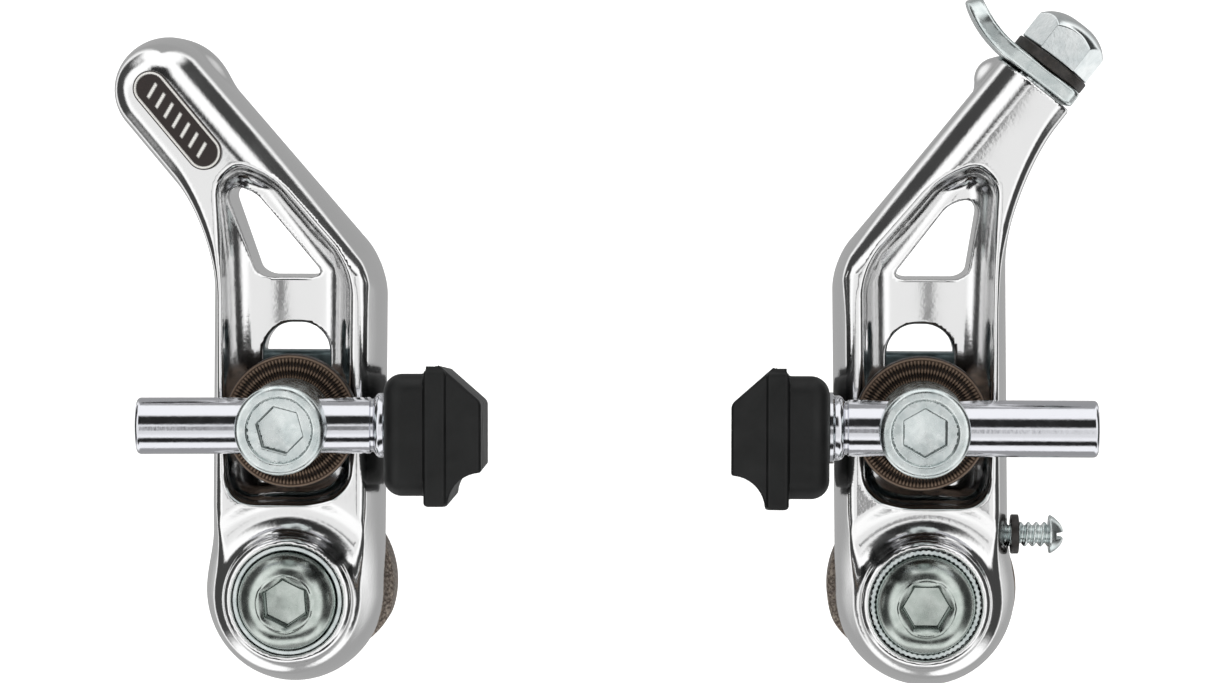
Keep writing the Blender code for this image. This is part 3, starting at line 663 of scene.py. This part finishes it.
def add_nut(side, material):
    """The skin of nut_field."""
    low, high = (CLAMP_X - 5.9, -5.4, CLAMP_Z - 5.9), (CLAMP_X + 5.9, -1.7, CLAMP_Z + 5.9)
    obj = skin_piece(f"{side.name}_stud_nut", side, nut_field, low, high, 0.2)
    dress(obj, material, f"{side.name}_clamp", f"{side.name}_clamp_nut")


# ---- Shoes ----


def add_post(side, material):
    """Smooth post with a groove and a stepped cone against the pad."""
    back, end = side.pad_back - CLAMP_X, side.post_end - CLAMP_X
    radius, edge = POST_RADIUS, 0.55
    # Spigot in the pad, collar, cone and groove, as radius and distance out from the pad's back.
    near_pad = [(0.0, -1.5), (2.7, -1.5), (3.0, -1.2), (3.0, 0.25), (4.2, 0.28),
                (4.4, 0.45), (4.4, 0.8), (4.1, 1.05), (4.0, 1.1), (4.0, 1.6),
                (3.86, 1.9), (3.5, 2.15), (3.3, 2.3), (3.3, 2.55), (radius, 2.75)]
    profile = [(reach, back - out) for reach, out in near_pad]
    profile += [(radius, end + 0.62)] + curved((radius - edge, end + edge), (edge, edge), (0.0, -80.0), 6)
    profile += [(2.6, end), (0.0, end)]
    grid = turned_grid(profile, 96)
    centre = (CLAMP_X, -POST_FRONT, CLAMP_Z)
    obj = grid_piece(f"{side.name}_pad_post", side, grid, centre, INWARDS, shoe=True)
    dress(obj, material, f"{side.name}_shoe", f"{side.name}_shoe_post")


def pad_field(u, w, v):
    """Rubber pad from its back (u), along its length (w) and up from its bottom (v).

    It is a rounded back body, a lip round the middle and a tapered front body with a hollow along
    its lower edge, joined with small fillets. Cross grooves run over the braking face.
    """
    body = block(u - 3.4, w, v - 8.35, (3.4, PAD_HALF - 0.5, 7.15), 2.2)
    lip = block(u - 6.0, w, v - 7.95, (1.3, PAD_HALF, 7.95), 0.45)
    taper = beyond(v, u, (15.9, 7.2), (12.2, PAD_THICK))
    face = blend_trim(np.maximum(u - PAD_THICK, 5.0 - u), np.maximum(taper, -v), 0.35)
    face = blend_trim(face, np.abs(w) - PAD_HALF + 0.35 + 0.12 * (u - 7.0), 0.5)
    face = carve(face, np.hypot(u - PAD_THICK, v) - 3.9, 0.3)
    groove = np.maximum(np.abs(np.abs(np.abs(w) - 11.0) - 5.5) - 0.6, PAD_THICK - 1.1 - u)
    face = carve(face, groove, 0.25)
    solid = blend_join(blend_join(body, lip, 0.12), face, 0.12)
    post_hole = np.maximum(np.hypot(w, v + PAD_LOW) - 3.15, u - 1.6)
    return np.maximum(solid, -post_hole)


def add_pad(side, material):
    """The skin of pad_field, laid along its own shoe."""
    low, high = (0.0, -PAD_HALF, 0.0), (PAD_THICK, PAD_HALF, PAD_TALL)
    points, faces, normals = skin_of(pad_field, low, high, 0.27)
    centre = np.array([side.pad_back, -POST_FRONT, CLAMP_Z + PAD_LOW])
    points = align_shoe(side, points + centre)
    normals = align_shoe(side, normals, (0.0, 0.0, 0.0))
    obj = build_mesh(f"{side.name}_rubber_pad", side, points, faces, normals)
    dress(obj, material, f"{side.name}_shoe", f"{side.name}_brake_pad")


# ---- Badge ----


def stadium(u, v, long, wide):
    """Distance to a flat shape with two straight sides and two round ends."""
    return np.hypot(np.maximum(np.abs(u) - (long - wide) / 2.0, 0.0), v) - wide / 2.0


def badge_marks(u, v):
    """1 on the badge's border line and on a row of slanted bars, 0 elsewhere."""
    border = np.abs(stadium(u, v, 14.6, 4.3) + 0.2) - 0.12
    row = np.abs((u + 0.35 * v + 0.8) % 1.6 - 0.8) - 0.2
    bars = np.maximum(np.maximum(row, np.abs(v) - 0.95), np.abs(u + 0.35 * v) - 5.3)
    return 1.0 - ramp(np.minimum(border, bars), -0.03, 0.05)


def badge_field(u, v, height):
    """Thin plate whose border and bars stand a little proud."""
    top = 0.4 + 0.08 * badge_marks(u, v)
    return blend_trim(stadium(u, v, 14.8, 4.5), np.abs(height) - top, 0.15)


def add_badge(material):
    """The plate lies along the left arm's head, just clear of it."""
    points, faces, normals = skin_of(badge_field, (-7.4, -2.3, -0.5), (7.4, 2.3, 0.5), 0.1)
    along = np.array([-0.64, 0.0, 0.768])
    axes = np.array([along, np.cross(FORWARDS, along), FORWARDS])
    tone = badge_marks(points[:, 0], points[:, 1]) * (points[:, 2] > 0.3)
    middle = np.array([-13.5, -18.3, 60.2])
    obj = build_mesh("left_head_badge", LEFT, middle + points @ axes, faces, normals @ axes, tone)
    dress(obj, material, "left_arm_body", "left_badge")


# ---- Cable anchor and adjuster ----


def about_anchor(points):
    """Turns (along the plate, forwards, up the bolt) places into places from the right pivot."""
    across = np.array([ANCHOR_AXIS[1], 0.0, -ANCHOR_AXIS[0]])
    upwards = np.array([ANCHOR_AXIS[0], 0.0, ANCHOR_AXIS[1]])
    return points @ np.array([across, FORWARDS, upwards])


def add_anchor_piece(name, field, low, high, step, material, node):
    """A piece on the anchor bolt's axis. Its directions are left-handed, so its faces are turned over."""
    points, faces, normals = skin_of(field, low, high, step)
    centre = np.array([ANCHOR[0], -NECK_FRONT, ANCHOR[1]])
    obj = build_mesh(name, RIGHT, centre + about_anchor(points), faces[:, ::-1], about_anchor(normals))
    dress(obj, material, "right_arm_body", node)


def hook_field(s, w, t):
    """Plate that runs straight under the bolt and then curls up along an arc, with a round tip.

    Beyond the straight part the distance to the sheet is the distance to a circle of the bend's
    radius, and the way along it is that radius times the angle.
    """
    bend, straight, thick, low = 15.0, 4.5, 1.08, 1.38
    rise = bend - (t - low)
    angle = np.arctan2(np.maximum(s - straight, 0.0), np.maximum(rise, 0.1))
    curled = np.abs(bend - np.hypot(np.maximum(s - straight, 0.0), rise)) - thick
    run = np.where(s > straight, bend * angle, s - straight)
    taper = 0.12 * np.maximum(run, 0.0) - 4.8
    sides = np.where(run > 5.0, np.hypot(np.maximum(run - 5.0, 0.0), w), np.abs(w)) + taper
    flat = blend_trim(sides, -9.5 - run, 1.2)
    flat = blend_trim(flat, run - 8.9, 0.6)
    return carve(blend_trim(flat, curled, 0.45), np.hypot(s, w) - 2.8, 0.2)


def anchor_bolt_field(s, w, t):
    """Hexagon head with a conical, rounded top, and a plain shank."""
    reach = np.hypot(s, w)
    top = blend_trim(0.717 * (reach - 4.85) + 0.697 * (t - 7.7), t - 9.5, 1.3)
    head = blend_trim(blend_trim(six_sided(s, w, 8.62, 90.0), top, 0.14), 4.0 - t, 0.2)
    shank = blend_trim(reach - 2.5, np.abs(t + 2.9) - 7.1, 0.3)
    return np.minimum(head, shank)


def washer_field(s, w, t):
    """Flat washer with rounded edges."""
    reach = np.hypot(s, w)
    disc = blend_trim(reach - 5.15, np.abs(t - 3.22) - 0.7, 0.2)
    return carve(disc, reach - 2.7, 0.15)


def add_anchor(zinc, bright_zinc, resin):
    """The hook, the bolt and the black washer on the right arm's neck."""
    add_anchor_piece("right_curled_hook", hook_field, (-5.2, -5.0, -1.0), (13.5, 5.0, 8.0), 0.25,
                     zinc, "right_hook_plate")
    add_anchor_piece("right_hexagon_bolt", anchor_bolt_field, (-5.1, -5.1, -10.1), (5.1, 5.1, 9.6), 0.17,
                     bright_zinc, "right_anchor_bolt")
    add_anchor_piece("right_black_washer", washer_field, (-5.2, -5.2, 2.4), (5.2, 5.2, 4.0), 0.2,
                     resin, "right_anchor_washer")


def add_adjuster_ring(material):
    """A small ring between the screw and the leg, turned about the screw."""
    grid = turned_grid(ring_profile(1.9, 2.5, 0.0, 1.0, 0.15), 64)
    centre = (-11.0, -ADJUSTER_FRONT, ADJUSTER_Z)
    obj = grid_piece("right_stop_ring", RIGHT, grid, centre, (-1, 0, 0), rings=True)
    dress(obj, material, "right_arm_body", "right_adjuster_ring")


def adjuster_field(x, y, z):
    """Pan head with a cross cut in it, on a shank whose thread is one helix of 1 mm pitch."""
    v, front, out = z - ADJUSTER_Z, -y - ADJUSTER_FRONT, -x
    reach = np.hypot(v, front)
    crest = 0.22 * np.cos(TAU * out - np.arctan2(v, front))
    shank = blend_trim(reach - 1.36 - crest, 6.0 - out, 0.3)
    shank = np.maximum(shank, out - 16.2)
    dome = np.hypot(reach, (out - 12.6) * 0.62) - 3.22
    head = blend_trim(blend_trim(np.maximum(reach - 2.62, dome), 15.8 - out, 0.25), out - 17.8, 0.4)
    half_wide, half_long = 0.38, 1.9
    upright = np.maximum(np.abs(v) - half_wide, np.abs(front) - half_long)
    level = np.maximum(np.abs(front) - half_wide, np.abs(v) - half_long)
    head = carve(head, np.maximum(np.minimum(upright, level), 16.7 - out), 0.08)
    return np.minimum(shank, head)


def add_adjuster(material):
    """The skin of adjuster_field."""
    low = (-17.9, -ADJUSTER_FRONT - 2.7, ADJUSTER_Z - 2.7)
    high = (-5.9, -ADJUSTER_FRONT + 2.7, ADJUSTER_Z + 2.7)
    obj = skin_piece("right_tension_screw", RIGHT, adjuster_field, low, high, 0.11)
    dress(obj, material, "right_adjuster", "right_adjuster_screw")


# ---- Materials ----


def linear(hexcode):
    """A colour written as sRGB hex, as the linear values that shaders take."""
    share = np.array([int(hexcode[i:i + 2], 16) for i in (1, 3, 5)]) / 255.0
    channels = np.where(share <= 0.04045, share / 12.92, ((share + 0.055) / 1.055) ** 2.4)
    return (*channels.tolist(), 1.0)


def add_node(tree, kind, settings=None, inputs=None, links=None):
    """Adds a node with its settings and input values, and links its inputs to other nodes' outputs."""
    node = tree.nodes.new(kind)
    for key, value in (settings or {}).items():
        setattr(node, key, value)
    for key, value in (inputs or {}).items():
        node.inputs[key].default_value = value
    for key, (source, output) in (links or {}).items():
        tree.links.new(source.outputs[output], node.inputs[key])
    return node


class Finish:
    """A Principled material with noise patterns for its colour, roughness and bump."""

    def __init__(self, name, colour, metallic, roughness):
        self.material = bpy.data.materials.new(name)
        self.material.use_nodes = True
        self.tree = self.material.node_tree
        self.shader = self.tree.nodes["Principled BSDF"]
        self.shader.inputs["Base Color"].default_value = linear(colour)
        self.shader.inputs["Metallic"].default_value = metallic
        self.shader.inputs["Roughness"].default_value = roughness
        self.place = add_node(self.tree, "ShaderNodeTexCoord")
        self.bump = None

    def tone(self):
        """A socket that gives the mesh's own tone, from 0 to 1."""
        return add_node(self.tree, "ShaderNodeAttribute", {"attribute_name": "tone"}), "Fac"

    def noise(self, size, detail=2.0, distortion=0.0, stretch=None):
        """Noise with features of about that many millimetres, drawn out along an axis by stretch."""
        source = (self.place, "Object")
        if stretch:
            source = (add_node(self.tree, "ShaderNodeMapping", inputs={"Scale": stretch},
                               links={"Vector": source}), "Vector")
        return add_node(self.tree, "ShaderNodeTexNoise",
                        inputs={"Scale": 1.0 / (size * MM), "Detail": detail, "Distortion": distortion},
                        links={"Vector": source})

    def vary_roughness(self, noise, low, high):
        """The roughness goes from low to high with the noise."""
        span = add_node(self.tree, "ShaderNodeMapRange",
                        inputs={"From Min": 0.3, "From Max": 0.7, "To Min": low, "To Max": high},
                        links={"Value": (noise, "Fac")})
        self.tree.links.new(span.outputs["Result"], self.shader.inputs["Roughness"])

    def mix_colours(self, source, first, second, low=0.35, high=0.65):
        """The base colour goes from first to second as the source goes from low to high."""
        blend = add_node(self.tree, "ShaderNodeValToRGB", links={"Fac": source})
        blend.color_ramp.elements[0].position = low
        blend.color_ramp.elements[0].color = linear(first)
        blend.color_ramp.elements[1].position = high
        blend.color_ramp.elements[1].color = linear(second)
        self.tree.links.new(blend.outputs["Color"], self.shader.inputs["Base Color"])
        return blend

    def add_bump(self, noise, strength, depth):
        """Bumps of about that many millimetres, on top of those that are there."""
        links = {"Height": (noise, "Fac")}
        if self.bump:
            links["Normal"] = (self.bump, "Normal")
        self.bump = add_node(self.tree, "ShaderNodeBump",
                             inputs={"Strength": strength, "Distance": depth * MM}, links=links)
        self.tree.links.new(self.bump.outputs["Normal"], self.shader.inputs["Normal"])


def polished_aluminium():
    """Forged aluminium polished on a wheel: slow ripples bend its reflections, and fine marks fray them."""
    finish = Finish("wheel_polished_aluminium", "#E2E2E2", 1.0, 0.1)
    ripple = finish.noise(5.0)
    finish.vary_roughness(ripple, 0.09, 0.16)
    finish.add_bump(ripple, 0.25, 0.12)
    finish.add_bump(finish.noise(0.45, 3.0), 0.32, 0.03)
    return finish.material


def zinc_plate(name, pale, dark, low, high):
    """Zinc plating: cloudy bluish patches with a fine crystalline grain, and painted shade that darkens a
    socket's walls.
    """
    finish = Finish(name, pale, 1.0, low)
    cloud = finish.mix_colours((finish.noise(2.2, 4.0, 0.6), "Fac"), pale, dark, 0.35, 0.7)
    # Painted shade: where the mesh's tone is high, on a socket's walls, the colour is darkened towards
    # #66706F.
    painted_socket_shade = add_node(finish.tree, "ShaderNodeMixRGB", inputs={"Color2": linear("#66706F")},
                      links={"Fac": finish.tone(), "Color1": (cloud, "Color")})
    finish.tree.links.new(painted_socket_shade.outputs["Color"], finish.shader.inputs["Base Color"])
    finish.vary_roughness(finish.noise(0.9, 3.0), low, high)
    finish.add_bump(finish.noise(0.35, 3.0), 0.25, 0.02)
    return finish.material


def chrome_plate():
    """Chrome on a turned post: mirror bright, with faint rings left by turning."""
    finish = Finish("chrome_on_turned_steel", "#D2D3D8", 1.0, 0.08)
    rings = finish.noise(0.25, 2.0, 0.0, (1.0, 0.05, 0.05))
    finish.vary_roughness(finish.noise(1.5), 0.07, 0.15)
    finish.add_bump(rings, 0.2, 0.01)
    finish.add_bump(finish.noise(0.5, 3.0), 0.3, 0.02)
    return finish.material


def phosphated_steel():
    """Brown phosphated steel: dull and dark in the valleys, rubbed paler on the crests."""
    finish = Finish("brown_phosphated_knurl", "#4A3B31", 0.55, 0.5)
    finish.mix_colours(finish.tone(), "#241C17", "#7D6A5B", 0.15, 0.95)
    finish.vary_roughness(finish.noise(0.3, 3.0), 0.38, 0.6)
    finish.add_bump(finish.noise(0.12, 3.0), 0.4, 0.02)
    return finish.material


def plain_phosphate():
    """The same brown phosphate on a plain washer, with mottled patches."""
    finish = Finish("brown_phosphated_washer", "#4A3B31", 0.55, 0.5)
    finish.mix_colours((finish.noise(0.8, 4.0), "Fac"), "#2F2620", "#66564A")
    finish.vary_roughness(finish.noise(0.4, 3.0), 0.35, 0.55)
    finish.add_bump(finish.noise(0.15, 3.0), 0.4, 0.02)
    return finish.material


def turned_steel():
    """Plain turned steel, with tool rings along its length."""
    finish = Finish("turned_bright_steel", "#B4B2AC", 1.0, 0.28)
    finish.vary_roughness(finish.noise(0.6, 3.0), 0.2, 0.36)
    finish.add_bump(finish.noise(0.2, 2.0, 0.0, (0.1, 1.0, 0.1)), 0.3, 0.01)
    return finish.material


def spring_wire():
    """Drawn spring wire, grey and a little oily."""
    finish = Finish("drawn_spring_wire", "#85837F", 1.0, 0.32)
    finish.mix_colours((finish.noise(1.2, 3.0), "Fac"), "#6E6C69", "#9A9893")
    finish.add_bump(finish.noise(0.15, 2.0), 0.3, 0.01)
    return finish.material


def filled_resin():
    """Brown glass-filled resin: a dull moulded skin with pale specks of fibre."""
    finish = Finish("glass_filled_brown_resin", "#6B5D50", 0.0, 0.6)
    finish.mix_colours((finish.noise(0.35, 4.0), "Fac"), "#4A3F37", "#A3978A", 0.42, 0.74)
    finish.vary_roughness(finish.noise(0.8, 2.0), 0.45, 0.7)
    finish.add_bump(finish.noise(0.3, 4.0), 0.5, 0.06)
    return finish.material


def moulded_rubber():
    """Black rubber: nearly matt, with a faint bloom in patches and a fine moulded grain."""
    finish = Finish("moulded_black_rubber", "#101112", 0.0, 0.48)
    finish.shader.inputs["Specular IOR Level"].default_value = 0.3
    finish.mix_colours((finish.noise(6.0, 4.0, 0.5), "Fac"), "#0B0C0C", "#161717")
    finish.vary_roughness(finish.noise(3.0, 4.0), 0.4, 0.6)
    finish.add_bump(finish.noise(0.25, 3.0), 0.3, 0.02)
    return finish.material


def black_resin():
    """Black moulded resin of the small rings, faintly brown."""
    finish = Finish("black_moulded_resin", "#1F1B18", 0.0, 0.42)
    finish.mix_colours((finish.noise(0.6, 3.0), "Fac"), "#171412", "#2B2622")
    finish.add_bump(finish.noise(0.2, 3.0), 0.3, 0.015)
    return finish.material


def badge_enamel():
    """Dark brown film under clear resin, its border and bars silver."""
    finish = Finish("brown_film_under_clear_resin", "#231B18", 0.0, 0.35)
    finish.shader.inputs["Specular IOR Level"].default_value = 0.3
    speckle = finish.noise(0.3, 3.0)
    film = add_node(finish.tree, "ShaderNodeMixRGB", links={"Fac": (speckle, "Fac")},
                    inputs={"Color1": linear("#1D1513"), "Color2": linear("#2B211E")})
    silvered = add_node(finish.tree, "ShaderNodeMixRGB", inputs={"Color2": linear("#E4E2DE")},
                        links={"Fac": finish.tone(), "Color1": (film, "Color")})
    finish.tree.links.new(silvered.outputs["Color"], finish.shader.inputs["Base Color"])
    finish.shader.inputs["Coat Weight"].default_value = 0.15
    finish.vary_roughness(speckle, 0.3, 0.42)
    return finish.material


# ---- Stage ----

STUDIO_WHITE = 1.35
# Each gap in degrees: its height's low, high and softness, its bearing's first, last and softness,
# and the share of light that is left in it.
STUDIO_GAPS = [
    ((-30.0, 6.0, 8.0), (-60.0, 34.0, 12.0), 0.78),
    ((-14.0, 3.0, 2.0), (-30.0, 3.2, 1.6), 0.25),
    ((10.0, 46.0, 5.0), (-30.0, 22.0, 7.0), 0.02),
    ((-66.0, -44.0, 4.0), (-30.0, 75.0, 12.0), 0.02),
    ((-38.0, 55.0, 8.0), (60.0, 122.0, 8.0), 0.05),
    ((-90.0, 90.0, 1.0), (138.0, 400.0, 14.0), 0.32),
]


def between(tree, angle, low, high, soft):
    """1 where an angle lies between two angles in degrees, and 0 beyond, with soft edges."""
    edges = []
    for middle, before, after in ((low, 0.0, 1.0), (high, 1.0, 0.0)):
        limits = {"From Min": math.radians(middle - soft), "From Max": math.radians(middle + soft),
                  "To Min": before, "To Max": after}
        edges.append(add_node(tree, "ShaderNodeMapRange", {"interpolation_type": "SMOOTHSTEP"},
                              limits, {"Value": (angle, "Value")}))
    return add_node(tree, "ShaderNodeMath", {"operation": "MULTIPLY"},
                    links={0: (edges[0], "Result"), 1: (edges[1], "Result")})


def studio_world():
    """A white tent as polished metal shows it: white panels, with dark gaps between them.

    A direction is split into its height above the level and its bearing from straight in front.
    Each gap is a window in height times a window in bearing.
    """
    world = bpy.data.worlds.new("studio")
    world.use_nodes = True
    tree = world.node_tree
    tree.nodes.clear()
    place = add_node(tree, "ShaderNodeTexCoord")
    axes = add_node(tree, "ShaderNodeSeparateXYZ", links={"Vector": (place, "Generated")})
    forward = add_node(tree, "ShaderNodeMath", {"operation": "MULTIPLY"}, {1: -1.0}, {0: (axes, "Y")})
    to_one_side = add_node(tree, "ShaderNodeMath", {"operation": "ARCTAN2"},
                           links={0: (axes, "X"), 1: (forward, "Value")})
    bearing = add_node(tree, "ShaderNodeMath", {"operation": "ABSOLUTE"}, links={0: (to_one_side, "Value")})
    height = add_node(tree, "ShaderNodeMath", {"operation": "ARCSINE"}, links={0: (axes, "Z")})
    level = None
    for (low, high, soft), (first, last, side_soft), white_left in STUDIO_GAPS:
        gap = add_node(tree, "ShaderNodeMath", {"operation": "MULTIPLY"}, links={
            0: (between(tree, height, low, high, soft), "Value"),
            1: (between(tree, bearing, first, last, side_soft), "Value")})
        shade = add_node(tree, "ShaderNodeMapRange", inputs={"To Min": 1.0, "To Max": white_left},
                         links={"Value": (gap, "Value")})
        if level:
            level = add_node(tree, "ShaderNodeMath", {"operation": "MULTIPLY"},
                             links={0: (level, level.outputs[0].name), 1: (shade, "Result")})
        else:
            level = shade
    camera_ray = add_node(tree, "ShaderNodeLightPath")
    seen = add_node(tree, "ShaderNodeMixRGB", inputs={"Color2": (1.0, 1.0, 1.0, 1.0)},
                    links={"Fac": (camera_ray, "Is Camera Ray"), "Color1": (level, level.outputs[0].name)})
    background = add_node(tree, "ShaderNodeBackground", inputs={"Strength": STUDIO_WHITE},
                          links={"Color": (seen, "Color")})
    add_node(tree, "ShaderNodeOutputWorld", links={"Surface": (background, "Background")})
    bpy.context.scene.world = world


def add_floor():
    """A wide pale disc well below the part, a grid of rings and spokes, which mirrors don't show."""
    rings, spokes, widest, level = 8, 96, 1.6, -0.055
    radius = np.linspace(0.0, 1.0, rings)[:, None] ** 2 * widest
    angle = TAU * np.arange(spokes)[None, :] / spokes
    height = np.full((rings, spokes), level)
    grid = np.stack([radius * np.cos(angle), radius * np.sin(angle), height], axis=2)
    mesh = bpy.data.meshes.new("floor")
    faces = grid_faces(rings, spokes, False)
    mesh.from_pydata(grid.reshape(-1, 3).tolist(), [], faces.tolist())
    mesh.validate()
    floor = bpy.data.objects.new("floor", mesh)
    bpy.context.scene.collection.objects.link(floor)
    finish = Finish("pale_paper", "#F6F6F4", 0.0, 0.9)
    finish.mix_colours((finish.noise(40.0), "Fac"), "#F4F4F2", "#FAFAF8")
    finish.shader.inputs["Emission Color"].default_value = (1.0, 1.0, 1.0, 1.0)
    finish.shader.inputs["Emission Strength"].default_value = 0.6
    floor.data.materials.append(finish.material)
    floor.visible_glossy = False


SENSOR = 36.0
VIEW_WIDTH = 0.15426


def set_camera():
    """The camera stands to the right of the middle and above the arms, and looks down a little.

    Its lens makes the frame VIEW_WIDTH metres wide at the target's distance.
    """
    camera = bpy.data.cameras.new("camera")
    obj = bpy.data.objects.new("camera", camera)
    bpy.context.scene.collection.objects.link(obj)
    spot = np.array([0.020, -0.470, 0.070])
    target = np.array([-0.0002, -0.010, 0.0320])
    direction = target - spot
    distance = float(np.linalg.norm(direction))
    obj.location = spot.tolist()
    obj.rotation_euler = (
        math.atan2(math.hypot(direction[0], direction[1]), -direction[2]),
        0.0,
        math.atan2(-direction[0], direction[1]),
    )
    camera.sensor_width = SENSOR
    camera.lens = SENSOR * distance / VIEW_WIDTH
    camera.clip_start = 0.01
    bpy.context.scene.camera = obj


def main():
    """Makes the finishes, both sides, the right arm's own pieces and the stage."""
    aluminium = polished_aluminium()
    zinc = zinc_plate("clear_zinc_plate", "#E2E8E7", "#BFC9C9", 0.2, 0.36)
    dark_zinc = zinc_plate("blue_passivated_zinc", "#C2C9C4", "#A8B1AB", 0.2, 0.3)
    bright_zinc = zinc_plate("bright_zinc_plate", "#E0E4E4", "#CCD3D4", 0.08, 0.17)
    # Painted shade: the slide block, in the room behind the web, gets a darker and rougher copy of the zinc
    # plate.
    shaded_block_zinc = zinc_plate("zinc_block_painted_shade", "#7D8C8F", "#5F6D70", 0.3, 0.45)
    chrome, knurl, phosphate = chrome_plate(), phosphated_steel(), plain_phosphate()
    steel, wire, holder = turned_steel(), spring_wire(), filled_resin()
    rubber, resin = moulded_rubber(), black_resin()
    for side in SIDES:
        is_left = side is LEFT
        add_arm(side, aluminium)
        add_bushing(side, steel)
        add_holder(side, holder)
        add_spring(side, wire)
        add_fixing_bolt(side, dark_zinc, 4.0 if is_left else 30.0)
        add_fixing_washer(side, zinc, 0.0 if is_left else 0.12)
        add_eye_bolt(side, zinc, 15.0 if is_left else 0.0)
        add_knurled_washer(side, knurl)
        add_seat_washer(side, phosphate)
        add_slide_block(side, shaded_block_zinc)
        add_nut(side, zinc)
        add_post(side, chrome)
        add_pad(side, rubber)
        plate = frame["nodes"][f"{side.name}_backing_plate"]
        plate.data.materials.clear()
        plate.data.materials.append(steel)
    add_badge(badge_enamel())
    add_anchor(zinc, bright_zinc, resin)
    add_adjuster_ring(resin)
    add_adjuster(zinc)
    studio_world()
    add_floor()
    set_camera()
    bpy.context.scene.view_settings.view_transform = "Standard"


main()
